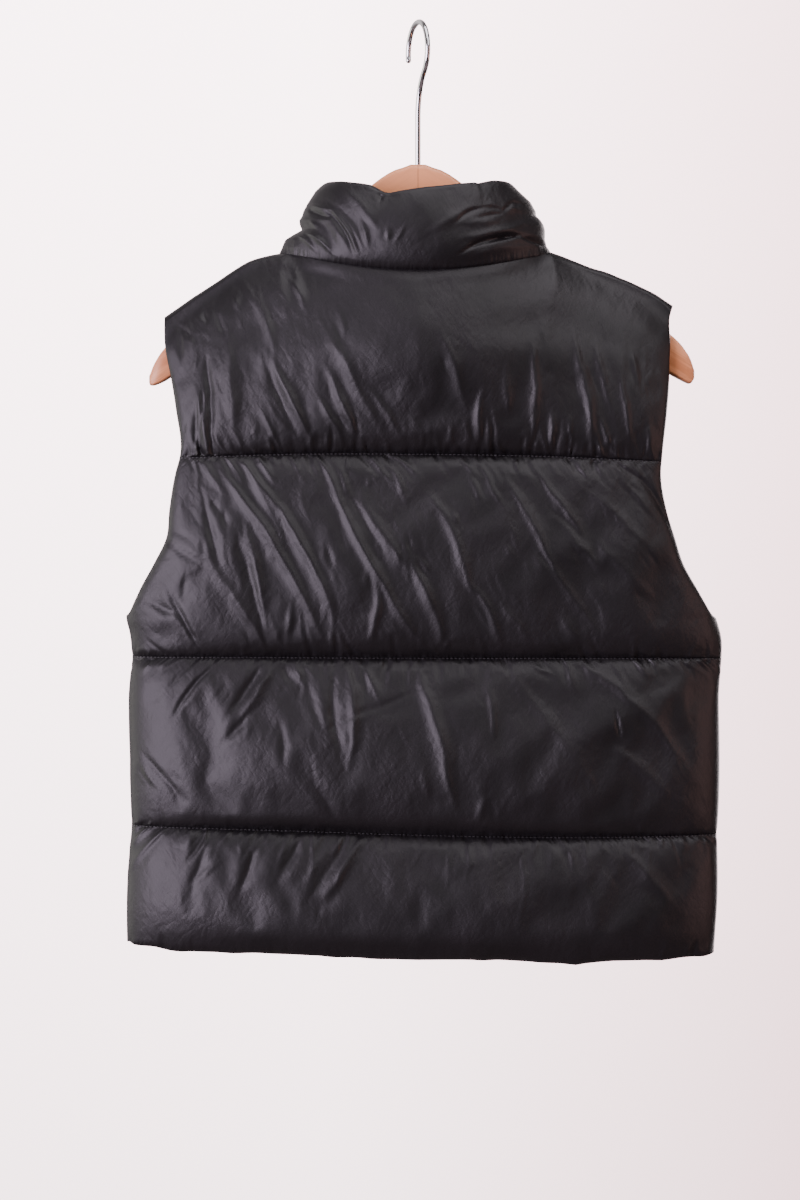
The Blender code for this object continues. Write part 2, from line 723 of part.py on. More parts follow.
def main():
    for obj in list(bpy.data.objects):
        bpy.data.objects.remove(obj)
    parts = new_collection("puffer_vest")
    cutters = new_collection("cutters")

    cloth = {
        "back": back_points(),
        "front_right": front_points(1),
        "front_left": front_points(-1),
        "collar": collar_points(),
    }
    for name, faces in cloth.items():
        finish(add_wall(name, faces, parts), name + "_nylon", (0.012, 0.012, 0.014), 0.38)
    for name, side in (("zip_tape_right", 1), ("zip_tape_left", -1)):
        finish(add_wall(name, tape_points(side), parts), name + "_weave", (0.02, 0.02, 0.02), 0.85)
    finish(add_wall("zip_chain", chain_points(), parts), "zip_chain_plastic", (0.015, 0.015, 0.016), 0.4)
    finish(build_slider(parts, cutters), "zip_slider_metal", (0.02, 0.02, 0.022), 0.35, 1.0)
    finish(build_pull_tab(parts, cutters), "zip_pull_tab_metal", (0.02, 0.02, 0.022), 0.35, 1.0)
    arms, hook = build_hanger(parts, cutters)
    finish(arms, "hanger_arms_wood", (0.70, 0.44, 0.28), 0.5)
    finish(hook, "hanger_hook_steel", (0.75, 0.75, 0.76), 0.18, 1.0)

    for cutter in cutters.objects:
        cutter.hide_render = True
        cutter.display_type = "WIRE"


main()
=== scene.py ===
"""A child's puffer vest of glossy black nylon, zipped up, on a curved wooden hanger.

Metres, +Z up. The origin is the inside top of the hook's crown. The vest's back faces -Y and its
fronts face +Y, so +X is the wearer's right.
"""

import logging
import math
from collections.abc import Callable
from dataclasses import dataclass, field
from enum import Enum
from typing import NamedTuple

import bpy
import numpy as np
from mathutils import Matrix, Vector


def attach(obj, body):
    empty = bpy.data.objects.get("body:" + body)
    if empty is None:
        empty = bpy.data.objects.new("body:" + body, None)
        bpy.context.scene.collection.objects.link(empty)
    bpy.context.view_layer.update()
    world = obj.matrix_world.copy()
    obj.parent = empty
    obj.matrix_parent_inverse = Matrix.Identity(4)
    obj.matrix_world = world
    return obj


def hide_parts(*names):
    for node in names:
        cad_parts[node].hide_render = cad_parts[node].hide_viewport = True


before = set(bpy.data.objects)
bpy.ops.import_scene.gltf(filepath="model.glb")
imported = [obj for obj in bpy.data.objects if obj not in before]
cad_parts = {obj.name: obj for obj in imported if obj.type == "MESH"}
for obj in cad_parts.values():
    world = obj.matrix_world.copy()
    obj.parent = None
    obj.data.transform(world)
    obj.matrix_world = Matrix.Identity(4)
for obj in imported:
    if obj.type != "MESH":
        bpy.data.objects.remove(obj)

LOG = logging.getLogger("puffer_vest")
MM = 0.001
LATTICE = 64
Points = np.ndarray
Pair = tuple[float, float]
Triple = tuple[float, float, float]
Piece = bpy.types.Object
Material = bpy.types.Material
Socket = bpy.types.NodeSocket


class Side(Enum):
    """The wearer's side that a half of the vest is on, by the sign of its X."""

    LEFT = -1
    RIGHT = 1


class Facing(Enum):
    """Which way a panel looks, by the sign of its Y."""

    BACK = -1
    FRONT = 1


class Edge(NamedTuple):
    """Half-widths of the inner face at one height."""

    z: float
    left: float
    right: float


class Shoulder(NamedTuple):
    """Height of the shoulder seam at one distance from the middle."""

    x: float
    left: float
    right: float


class Channel(NamedTuple):
    """A quilted channel: its fill's thickness and the wall at its lower edge."""

    fill: float
    lower_wall: float


class Crease(NamedTuple):
    """A long fold in millimetres: a ridge where height is positive, a trough where it is negative."""

    x: float
    z: float
    end_x: float
    end_z: float
    height: float
    width: float
    bow: float = 0.0


class Puckers(NamedTuple):
    """Short gathers on one side of a quilting line: how many, and how they lean from end to end."""

    line: int
    below: bool
    count: int
    left_lean: float
    right_lean: float
    length: float
    height: float


def rows_of(kind: type, *rows: tuple[float, ...]) -> tuple:
    """A table of one kind of row from plain values."""
    return tuple(kind(*row) for row in rows)


# --- The body's sizes -----------------------------------------------------------------------------

EDGES = rows_of(
    Edge,
    (-0.1830, 0.1612, 0.1612), (-0.1880, 0.1608, 0.1596), (-0.2090, 0.1600, 0.1598),
    (-0.2310, 0.1564, 0.1596), (-0.2460, 0.1540, 0.1584), (-0.2765, 0.1512, 0.1550),
    (-0.2870, 0.1540, 0.1542), (-0.3110, 0.1580, 0.1578), (-0.3290, 0.1600, 0.1632),
    (-0.3450, 0.1678, 0.1684), (-0.3635, 0.1776, 0.1786), (-0.3780, 0.1826, 0.1862),
    (-0.3885, 0.1806, 0.1898), (-0.4320, 0.1810, 0.1888), (-0.4710, 0.1802, 0.1886),
    (-0.5110, 0.1802, 0.1882), (-0.5670, 0.1816, 0.1864), (-0.5970, 0.1800, 0.1834),
)
SHOULDERS = rows_of(
    Shoulder,
    (0.083, -0.1480, -0.1480), (0.105, -0.1538, -0.1562), (0.125, -0.1660, -0.1638),
    (0.145, -0.1788, -0.1722), (0.161, -0.1892, -0.1828),
)
# Each line's height at five even places from the left seam to the right one.
QUILTING_LINES = (
    (-0.2775, -0.2752, -0.2752, -0.2765, -0.2800),
    (-0.4038, -0.4040, -0.4045, -0.4045, -0.4050),
    (-0.5114, -0.5135, -0.5165, -0.5180, -0.5172),
    (-0.5865, -0.5912, -0.5940, -0.5968, -0.5928),
)
# A point's distance from a seam that isn't near.
FAR_OFF = 0.05
SHELL_SHARP = math.radians(75)
PIECE_SHARP = math.radians(40)
# A length that counts as none.
HAIR = 1e-5
DOWN = Vector((0, 0, -1))
# The cloth's thickness at a seam, what the stitched valleys stand over it, and the hem's own.
SEAM_WALL = 0.003
SEAM_LIFT = 0.0048
HEM_WALL = 0.0055
TOP_CHANNEL = Channel(0.019, SEAM_WALL)
LOWER_CHANNELS = (Channel(0.022, SEAM_WALL), Channel(0.022, SEAM_WALL), Channel(0.020, HEM_WALL))


def smooth(t: Points) -> Points:
    """A soft step from 0 to 1."""
    t = np.clip(t, 0, 1)
    return t * t * (3 - 2 * t)


def quarter_arc(t: Points) -> Points:
    """A quarter circle's rise from 0 to 1, upright at its start."""
    return np.sqrt(1 - (1 - np.clip(t, 0, 1)) ** 2)


def unit(vectors: Points) -> Points:
    """The vectors at length 1."""
    return vectors / np.linalg.norm(vectors, axis=-1, keepdims=True)


def spaced(count: int, gather: float = 0.6) -> Points:
    """Places from 0 to 1, closer together at both ends.

    Args:
        count: Number of steps.
        gather: 0 for even steps, 1 for steps that shrink to nothing at the ends.

    Returns:
        count + 1 places.
    """
    even = np.linspace(0, 1, count + 1)
    return (1 - gather) * even + gather * (1 - np.cos(math.pi * even)) / 2


def through(at: Points, places: Points, values: Points) -> Points:
    """A smooth curve through a table's points, level past its ends.

    Args:
        at: Where the curve is read.
        places: The table's places, rising.
        values: The table's values.

    Returns:
        The curve's values.
    """
    places, values = np.asarray(places, float), np.asarray(values, float)
    slopes = np.gradient(values, places)
    start = np.clip(np.searchsorted(places, at) - 1, 0, len(places) - 2)
    step = places[start + 1] - places[start]
    t = np.clip((at - places[start]) / step, 0, 1)
    leaving = slopes[start] * step * t * (1 - t) ** 2
    arriving = slopes[start + 1] * step * t**2 * (1 - t)
    return values[start] + (values[start + 1] - values[start]) * smooth(t) + leaving - arriving


def column(table: tuple, name: str) -> Points:
    """One named column of a table of rows."""
    return np.array([getattr(row, name) for row in table])


def soft_noise(u: Points, v: Points, seed: int) -> Points:
    """Smooth noise from -1 to 1 with a period of about 1 in u and v, the same on each run.

    Args:
        u: First coordinate.
        v: Second coordinate.
        seed: Chooses the pattern.

    Returns:
        The noise at each point.
    """
    lattice = np.random.default_rng(seed).uniform(-1, 1, (LATTICE, LATTICE))
    low_u, low_v = np.floor(u).astype(int), np.floor(v).astype(int)
    blend_u, blend_v = smooth(u - low_u), smooth(v - low_v)
    near, far = (
        lattice[(low_u + step) % LATTICE, low_v % LATTICE] * (1 - blend_v)
        + lattice[(low_u + step) % LATTICE, (low_v + 1) % LATTICE] * blend_v
        for step in (0, 1)
    )
    return near * (1 - blend_u) + far * blend_u


class Waves(NamedTuple):
    """Soft noise over cloth: its height, its periods across and down, and which pattern it has."""

    height: float
    across: float
    down: float
    pattern: int

    def relief(self, x: Points, z: Points, seed: int = 0) -> Points:
        """The waves' height at each point."""
        return self.height * soft_noise(x / self.across, z / self.down, seed + self.pattern)


def off_ends(down: Points, upper: float, lower: float) -> Points:
    """1 inside a channel, falling softly to 0 at its seams over these shares of its height."""
    return smooth(down / upper) * smooth((1 - down) / lower)


def evened(rows: Points, reach: int) -> Points:
    """The rows averaged with their neighbours, reach rows to each side, the ends kept."""
    padded = np.concatenate([np.repeat(rows[:1], reach, 0), rows, np.repeat(rows[-1:], reach, 0)])
    return sum(padded[at : at + len(rows)] for at in range(2 * reach + 1)) / (2 * reach + 1)


@dataclass(frozen=True)
class BodyForm:
    """The hanging body that every cloth piece is measured from. All sizes are on the inner face."""

    seam_lap: float = 0.00012
    neck_half_width: float = 0.083
    neck_half_depth: float = 0.030
    neck_side_z: float = -0.148
    neck_curve: float = 1.8
    shoulder_tilt: float = math.radians(28)
    crown_half_width: float = 0.0075
    crown_drop: float = 0.005
    crown_reach: float = 0.045
    neck_spread_width: float = 0.115
    neck_spread_drop: float = 0.030
    half_depth: float = 0.017
    roundness: float = 3.0
    armhole_half_gap: float = 0.015
    armhole_round: float = 0.007
    armhole_reach: float = 0.050
    armhole_soft_reach: float = 1.25
    armhole_soft_start: float = 0.2
    armhole_edge: int = 12
    underarm: float = 0.79
    side_reach: float = 0.040
    centre_reach: float = 0.024
    belly: float = 0.62
    centre_edge: float = 0.005

    def half_width(self, z: Points, side: Side) -> Points:
        """From the middle to the inner face's edge at a height."""
        return through(-z, -column(EDGES, "z"), column(EDGES, side.name.lower()))

    def shoulder_tip(self, side: Side) -> float:
        """From the middle to the shoulder seam's outer end."""
        return float(self.half_width(np.array(EDGES[0].z), side))

    def line_height(self, line: int, across: Points) -> Points:
        """A quilting line's height, across from -1 at the left seam to 1 at the right one."""
        heights = QUILTING_LINES[line]
        return through(across, np.linspace(-1, 1, len(heights)), heights)

    def above_underarm(self, z: Points, side: Side) -> Points:
        """How far heights are above the lowest point of the armhole."""
        upper, lower = (self.line_height(line, np.array(side.value)) for line in (0, 1))
        return z - (upper + (lower - upper) * self.underarm)

    def armhole_gap(self, above: Points) -> Points:
        """From the middle plane to the armhole's edge, by height above the underarm."""
        gap = self.armhole_round * quarter_arc(above / self.armhole_round)
        return gap + (self.armhole_half_gap - self.armhole_round) * smooth(above / self.armhole_reach)

    def soft_gap(self, above: Points) -> Points:
        """A softer rise of the armhole's gap, for the cloth away from its edge."""
        rise = above / (self.armhole_soft_reach * self.armhole_reach) + self.armhole_soft_start
        return self.armhole_half_gap * smooth(rise)

    def opening(self, z: Points, across: Points, side: Side) -> Points:
        """The gap at each height and share of the way across: sharp at the edge, soft away from it."""
        sharp, soft = (gap(self.above_underarm(z, side)) for gap in (self.armhole_gap, self.soft_gap))
        return soft + (sharp - soft) * np.abs(across) ** self.armhole_edge

    def depth(self, z: Points, across: Points, side: Side) -> Points:
        """From the middle plane to the inner face, as a flat lens that opens at the armhole."""
        gap = self.opening(z, across, side) ** 2
        return np.sqrt(gap + (self.half_depth**2 - gap) * (1 - np.abs(across) ** self.roundness))

    def direction(self, z: Points, across: Points, side: Side, facing: Facing) -> Points:
        """Which way the lens faces.

        Args:
            z: Heights.
            across: The share of the way from the middle to the edge.
            side: The half that the points are on.
            facing: Whether it is the back's or the fronts' face.

        Returns:
            A unit vector at each point.
        """
        gap = self.opening(z, across, side)
        steepness = (self.half_depth**2 - gap**2) * self.roundness / 2
        outward = side.value * steepness * np.abs(across) ** (self.roundness - 1)
        forward = facing.value * self.depth(z, across, side) * self.half_width(z, side)
        return unit(np.stack([outward, forward, np.zeros_like(outward)], axis=-1))

    def fullness(self, down: Points, softness: float) -> Points:
        """A channel's fill from its upper seam (0) to its lower one (1), heaviest near the bottom."""
        rise = np.sin(math.pi / 2 * np.clip(down / self.belly, 0, 1)) ** softness
        return rise * np.sqrt(1 - np.clip((down - self.belly) / (1 - self.belly), 0, 1) ** 2)

    def neck_ring(self, centre: float, drop: float, across: Points) -> tuple[Points, Points]:
        """The neck seam.

        Args:
            centre: How far from the middle the seam starts.
            drop: How far the centre hangs below the shoulder seam's inner end.
            across: Places from the centre (0) out to the shoulder seam (1).

        Returns:
            The seam's points and which way they face.
        """
        forward = np.sqrt(1 - across**2)
        x = centre + (self.neck_half_width - centre) * across
        z = self.neck_side_z - drop * forward**self.neck_curve
        points = np.stack([x, self.neck_half_depth * forward, z], axis=-1)
        return points, unit(np.stack([across, forward, across**2], axis=-1))

    def shoulder_seam(self, side: Side, x: Points) -> tuple[Points, Points]:
        """The shoulder seam.

        Args:
            side: The half that the seam is on.
            x: Distances from the middle.

        Returns:
            The seam's points and which way its wall faces.
        """
        z = through(x, column(SHOULDERS, "x"), column(SHOULDERS, side.name.lower()))
        facing = np.array([math.sin(self.shoulder_tilt), 0, math.cos(self.shoulder_tilt)])
        return np.stack([x, np.zeros_like(x), z], axis=-1), np.tile(facing, (len(x), 1))


FORM = BodyForm()


# --- Folds ----------------------------------------------------------------------------------------


class Taper(Enum):
    """How a fold dies out: at both ends, or away from the seam that gathers it."""

    BOTH_ENDS = "both ends"
    FROM_SEAM = "from the seam"


@dataclass(frozen=True)
class FoldShape:
    """The cross-section and the taper that all folds share, in shares of a fold's own sizes."""

    end_height: float = 0.04
    fading: float = 0.8
    end_width: float = 0.5
    ridge_opening: Pair = (0.45, 0.9)
    trough_opening: Pair = (1.25, -0.8)
    sharpness: float = 1.8
    rounding: float = 0.12
    crest_start: float = 0.346
    hollow: float = 0.42
    hollow_width: float = 2.0
    margin: float = 4
    broad_bend: Waves = Waves(1.6, 24, 24, 11)
    small_bend: Waves = Waves(0.5, 7, 9, 12)
    upward_bend: Waves = Waves(1.6, 22, 26, 13)

    def tapered(self, crease: Crease, inside: Points, taper: Taper) -> tuple[Points, Points]:
        """How a fold changes along it.

        Args:
            crease: The fold.
            inside: Places along it, from 0 to 1.
            taper: How its height and width change.

        Returns:
            The share of its height and its width in millimetres at each place.
        """
        if taper is Taper.BOTH_ENDS:
            rise = np.clip(self.end_height + (1 - 2 * self.end_height) * inside, 0, 1)
            swell = self.end_width + (1 - self.end_width) * np.sin(math.pi * inside)
            return np.sin(math.pi * rise) ** self.fading, crease.width * swell
        start, growth = self.ridge_opening if crease.height > 0 else self.trough_opening
        return (1 - inside) ** self.fading, crease.width * (start + growth * inside)

    def lift(self, x: Points, z: Points, crease: Crease, taper: Taper) -> Points:
        """How far one fold lifts the cloth.

        Args:
            x: Distance to the wearer's right, in millimetres.
            z: Height in millimetres.
            crease: The fold.
            taper: How its height and width change along it.

        Returns:
            The lift in millimetres at each point.
        """
        run_x, run_z = crease.end_x - crease.x, crease.end_z - crease.z
        length = math.hypot(run_x, run_z)
        off_x, off_z = x - crease.x, z - crease.z
        along = (off_x * run_x + off_z * run_z) / length**2
        inside = np.clip(along, 0, 1)
        off = (off_x * run_z - off_z * run_x) / length - crease.bow * 4 * inside * (1 - inside)
        past = (along - inside) * length
        strength, width = self.tapered(crease, inside, taper)
        spread = off / width
        crest = np.exp(-self.sharpness * (np.sqrt(spread**2 + self.rounding) - self.crest_start))
        shape = crest - self.hollow * np.exp(-((spread / self.hollow_width) ** 2))
        return crease.height * strength * shape * np.exp(-((past / crease.width) ** 2))

    def relief(self, x: Points, z: Points, creases: tuple[Crease, ...], taper: Taper) -> Points:
        """How far several folds together lift the cloth.

        Args:
            x: Distance to the wearer's right, in metres.
            z: Height in metres.
            creases: The folds.
            taper: How they change along them.

        Returns:
            The lift in metres at each point.
        """
        x, z = x / MM, z / MM
        bent_x = x + self.broad_bend.relief(x, z) + self.small_bend.relief(x, z)
        bent_z = z + self.upward_bend.relief(x, z)
        lift = np.zeros_like(x)
        for crease in creases:
            margin = self.margin * crease.width + abs(crease.bow)
            near = np.ones(x.shape, dtype=bool)
            for bent, ends in ((bent_x, (crease.x, crease.end_x)), (bent_z, (crease.z, crease.end_z))):
                near &= (bent > min(ends) - margin) & (bent < max(ends) + margin)
            lift[near] += self.lift(bent_x[near], bent_z[near], crease, taper)
        return lift * MM


FOLDS = FoldShape()


@dataclass(frozen=True)
class Gatherer:
    """Makes the short folds that leave a quilting line, ridges and troughs in turn."""

    reach: float = 0.98
    shift: float = 0.7
    turn: float = 11
    length_spread: float = 0.45
    height_spread: float = 0.4
    widths: Pair = (1.5, 3.0)
    bow: float = 0.05

    def row(self, puckers: Puckers, form: BodyForm, random: np.random.Generator) -> list[Crease]:
        """The gathers on one side of a quilting line.

        Args:
            puckers: Where they are, how many, and how they lean.
            form: The body that they lie on.
            random: Draws how each one strays.

        Returns:
            The folds.
        """
        across = np.linspace(-self.reach, self.reach, puckers.count)
        across = across + random.uniform(-self.shift, self.shift, puckers.count) * 2 / puckers.count
        made = []
        for place, at in enumerate(across):
            side = Side.LEFT if at < 0 else Side.RIGHT
            z = float(form.line_height(puckers.line, np.array(at)))
            x = at * float(form.half_width(np.array(z), side))
            share = (at + 1) / 2
            lean = puckers.left_lean + (puckers.right_lean - puckers.left_lean) * share
            lean = math.radians(lean + random.normal(0, self.turn))
            length = puckers.length * random.lognormal(0, self.length_spread)
            rise = -math.cos(lean) if puckers.below else math.cos(lean)
            ridge = 1 if place % 2 else -1
            height = puckers.height * random.lognormal(0, self.height_spread) * ridge
            width = random.uniform(*self.widths)
            end_x, end_z = x / MM + length * math.sin(lean), z / MM + length * rise
            bow = random.normal(0, self.bow) * length
            made.append(Crease(x / MM, z / MM, end_x, end_z, height, width, bow))
        return made


@dataclass(frozen=True)
class Follower:
    """Makes the small folds that run beside a long one, a little off its direction."""

    turn: float = 10
    past_ends: float = 0.15
    aside: float = 5
    aside_for_width: float = 2.2
    log_length: Pair = (2.5, 0.45)
    longest: float = 34
    log_height: Pair = (-0.75, 0.5)
    widths: Pair = (1.4, 2.6)
    bow: float = 0.05

    def beside(self, leader: Crease, random: np.random.Generator) -> Crease:
        """One small fold.

        Args:
            leader: The long fold that it follows.
            random: Draws how it strays.

        Returns:
            The small fold.
        """
        run_x, run_z = leader.end_x - leader.x, leader.end_z - leader.z
        whole = math.hypot(run_x, run_z)
        turn = math.atan2(run_z, run_x) + math.radians(random.normal(0, self.turn))
        along = random.uniform(-self.past_ends, 1 + self.past_ends)
        aside = random.normal(0, 1) * (self.aside + self.aside_for_width * leader.width)
        run_x, run_z = run_x / whole, run_z / whole
        x = leader.x + run_x * whole * along - run_z * aside
        z = leader.z + run_z * whole * along + run_x * aside
        length = min(random.lognormal(*self.log_length), self.longest)
        share = random.choice([-1, 1]) * random.lognormal(*self.log_height)
        height = share * min(abs(leader.height) / 2, 1)
        width = random.uniform(*self.widths)
        bow = random.normal(0, self.bow) * length
        reach_x, reach_z = length * math.cos(turn) / 2, length * math.sin(turn) / 2
        return Crease(x - reach_x, z - reach_z, x + reach_x, z + reach_z, height, width, bow)


@dataclass
class ClothGrid:
    """One padded piece as rows of points: its plain inside, and what its outside is made from."""

    inner: Points
    direction: Points
    wall: Points
    down: Points
    fade: Points
    below_seam: Points
    above_seam: Points

    def joined(self, other: "ClothGrid") -> "ClothGrid":
        """This grid mirrored to the left of another that shares its first column."""
        pairs = ((getattr(self, name)[:, :0:-1], getattr(other, name)) for name in self.__dataclass_fields__)
        return ClothGrid(*(np.concatenate(pair, axis=1) for pair in pairs))

    def outer(self) -> Points:
        """The outside without any folds."""
        return self.inner + self.direction * self.wall[..., None]


@dataclass
class QuiltedPanel:
    """A back or a front: four padded channels between quilting lines."""

    name: str
    facing: Facing
    sides: tuple[Side, ...]
    neck_drop: float
    centre: float
    creases: tuple[Crease, ...]
    puckers: tuple[Puckers, ...]
    seed: int
    half_columns: int = 138
    crown_rows: int = 6
    channel_rows: tuple[int, ...] = (84, 90, 78, 57)
    edge_columns: float = 0.35
    facing_blend: int = 9
    close_blend: int = 6
    wide_blend: int = 22
    blend_drop: float = 0.012
    side_lap_depth: float = 0.002
    top_softness: float = 1.0
    lower_softness: float = 0.62
    top_lift: Pair = (0.3, 0.5)
    barrel: Pair = (0.0035, 0.0105)
    gather_ends: Pair = (0.02, 0.015)
    fold_ends: Pair = (0.06, 0.04)
    fold_fade: float = 0.4
    broad_waves: Waves = Waves(0.0008, 0.045, 0.060, 1)
    small_waves: Waves = Waves(0.00022, 0.008, 0.013, 2)
    shoulder_ripple: Waves = Waves(0.0007, 0.011, math.inf, 3)
    ripple_drop: float = 0.006
    ripple_start: float = 0.02
    overhang: float = 0.0013
    hang_from: float = 0.45
    hem_roll: float = 0.0016
    hem_roll_mean: float = 0.7
    hem_waves: tuple[Waves, Waves] = (Waves(0.35, 0.013, math.inf, 3), Waves(0.3, 0.034, math.inf, 4))
    hem_share: float = 0.1
    hem_fade: float = 0.5
    hem_sag: tuple[Pair, ...] = ((0, 0),)
    sag_share: float = 0.45
    small_folds: int = 520
    gatherer: Gatherer = Gatherer()
    follower: Follower = Follower()
    form: BodyForm = FORM

    def half(self, side: Side) -> ClothGrid:
        """The half on one side.

        Args:
            side: The wearer's side.

        Returns:
            Rows from neck to hem, columns from the centre out.
        """
        form = self.form
        tip = form.shoulder_tip(side)
        even = np.linspace(0, 1, self.half_columns + 1)
        share = (1 - self.edge_columns) * even + self.edge_columns * np.sin(even * math.pi / 2)
        x = self.centre + (tip - self.centre) * share
        at_neck = x < form.neck_half_width
        ring = (x[at_neck] - self.centre) / (form.neck_half_width - self.centre)
        neck, neck_facing = form.neck_ring(self.centre, self.neck_drop, ring)
        seam, seam_facing = form.shoulder_seam(side, x[~at_neck])
        top = np.concatenate([neck, seam])
        top_facing = evened(np.concatenate([neck_facing, seam_facing]), self.facing_blend)
        top_facing = unit(top_facing) * (side.value, self.facing.value, 1)
        fade = quarter_arc((tip - top[:, 0]) / form.side_reach)
        if self.centre:
            fade = fade * quarter_arc((top[:, 0] - self.centre) / form.centre_reach)
        across = side.value * share
        channels = [self.top_channel(side, top, top_facing, across, fade)]
        channels += [self.lower_channel(side, at, across, fade) for at in range(len(LOWER_CHANNELS))]
        rows = (np.concatenate(rows) for rows in zip(*channels))
        z, depth, direction, wall, down, below, above = rows
        x = side.value * (self.centre + (form.half_width(z, side) - self.centre) * share)
        y = self.facing.value * np.maximum(depth, -form.seam_lap)
        y = y - self.facing.value * form.seam_lap * (1 - smooth(depth / self.side_lap_depth))
        inner = np.stack([x, y, z], axis=-1)
        return ClothGrid(inner, direction, wall, down, np.broadcast_to(fade, z.shape), below, above)

    def top_channel(
        self, side: Side, top: Points, top_facing: Points, across: Points, fade: Points
    ) -> tuple[Points, ...]:
        """The channel over the hanger's crown and down to the first quilting line.

        Args:
            side: The wearer's side.
            top: The neck's and the shoulder's seam.
            top_facing: Which way the wall faces there.
            across: The share of the way from the middle to the edge, with the side's sign.
            fade: The share of the fill that each column keeps.

        Returns:
            The channel's rows of each kind of value in a grid, with heights and depths first.
        """
        form = self.form
        first_line = form.line_height(0, across)
        height = top[:, 2] - first_line
        crown = form.crown_drop * (1 - np.cos(np.linspace(0, math.pi / 2, self.crown_rows + 1)))
        steps = spaced(self.channel_rows[0])[1:, None]
        below = form.crown_drop + steps * (height - form.crown_drop)
        dropped = np.concatenate([np.tile(crown[:, None], len(top)), below])
        down = dropped / height
        z = top[:, 2] - dropped

        spread = 1 - smooth(top[:, 0] / form.neck_spread_width)
        spread = form.crown_half_width + (form.neck_half_depth - form.crown_half_width) * spread
        reach = np.maximum(form.crown_half_width, top[:, 1])
        reach = reach + (spread - reach) * smooth(dropped / form.neck_spread_drop)
        tuck = form.crown_half_width - np.minimum(form.crown_half_width, top[:, 1])
        tuck = tuck * (1 - quarter_arc(dropped / form.crown_drop))
        at_line = form.depth(first_line, across, side)
        depth = reach + (at_line - reach) * smooth(down)
        close, wide = (evened(depth.T, reach).T for reach in (self.close_blend, self.wide_blend))
        depth = close + (wide - close) * smooth(dropped / self.blend_drop) - tuck

        turned = 1 - smooth(dropped / form.crown_reach)[..., None]
        body = form.direction(z, across, side, self.facing)
        direction = unit(body * (1 - turned) + top_facing * turned)
        lift_from, lift_share = self.top_lift
        thin = TOP_CHANNEL.lower_wall + SEAM_LIFT * fade * smooth((down - lift_from) / lift_share)
        wall = thin + (TOP_CHANNEL.fill - thin) * form.fullness(down, self.top_softness) * fade
        return z, depth, direction, wall, down, np.full_like(z, FAR_OFF), z - first_line

    def lower_channel(self, side: Side, at: int, across: Points, fade: Points) -> tuple[Points, ...]:
        """A channel from one quilting line to the next or to the hem, without its first row.

        Args:
            side: The wearer's side.
            at: The channel's place in LOWER_CHANNELS.
            across: The share of the way from the middle to the edge, with the side's sign.
            fade: The share of the fill that each column keeps.

        Returns:
            The channel's rows of each kind of value in a grid, with heights and depths first.
        """
        form = self.form
        channel = LOWER_CHANNELS[at]
        down = spaced(self.channel_rows[at + 1])[1:, None]
        start, end = (form.line_height(line, across) for line in (at, at + 1))
        z = start + (end - start) * down
        lifted = SEAM_LIFT * fade * (1 - down if channel is LOWER_CHANNELS[-1] else 1)
        thin = SEAM_WALL + (channel.lower_wall - SEAM_WALL) * down + lifted
        wall = thin + (channel.fill - thin) * form.fullness(down, self.lower_softness) * fade
        depth = form.depth(z, across, side)
        direction = form.direction(z, across, side, self.facing)
        return z, depth, direction, wall, np.broadcast_to(down, z.shape), start - z, z - end

    def grid(self) -> ClothGrid:
        """The whole panel, from the wearer's left to right on a back, or from the centre on a front."""
        halves = [self.half(side) for side in self.sides]
        return halves[0].joined(halves[1]) if len(halves) == 2 else halves[0]

    def line_rows(self) -> list[int]:
        """The row that each quilting line runs along."""
        ends = self.crown_rows + np.cumsum(self.channel_rows)
        return [int(row) for row in ends[:-1]]

    def gathers(self) -> tuple[Crease, ...]:
        """The short folds that leave the quilting lines."""
        random = np.random.default_rng(self.seed)
        return tuple(fold for each in self.puckers for fold in self.gatherer.row(each, self.form, random))

    def followers(self) -> tuple[Crease, ...]:
        """The small folds beside the long ones, more of them beside a longer one.

        Returns:
            The folds.
        """
        random = np.random.default_rng(self.seed + 100)
        lengths = np.array([math.hypot(c.end_x - c.x, c.end_z - c.z) for c in self.creases])
        leaders = random.choice(len(lengths), self.small_folds, p=lengths / lengths.sum())
        return tuple(self.follower.beside(self.creases[leader], random) for leader in leaders)

    def relief(self, grid: ClothGrid, x: Points, z: Points) -> Points:
        """How far folds, gathers and waves lift the outside.

        Args:
            grid: The panel.
            x: How far to the wearer's right each point of its outside is.
            z: How high it is.

        Returns:
            The lift in metres at each point.
        """
        off_seam = off_ends(grid.down, *self.fold_ends)
        lift = FOLDS.relief(x, z, self.creases + self.followers(), Taper.BOTH_ENDS) * off_seam
        gathered = FOLDS.relief(x, z, self.gathers(), Taper.FROM_SEAM)
        lift = lift + gathered * off_ends(grid.down, *self.gather_ends)
        waves = self.broad_waves.relief(x, z, self.seed) + self.small_waves.relief(x, z, self.seed)
        lift = (lift + waves * off_seam) * smooth(grid.fade / self.fold_fade)
        below_top = grid.outer()[:1, :, 2] - z
        ripple = self.shoulder_ripple.relief(x, z) * np.exp(-((below_top / self.ripple_drop) ** 2))
        return lift + ripple * smooth((np.abs(x) - self.form.neck_half_width) / self.ripple_start)

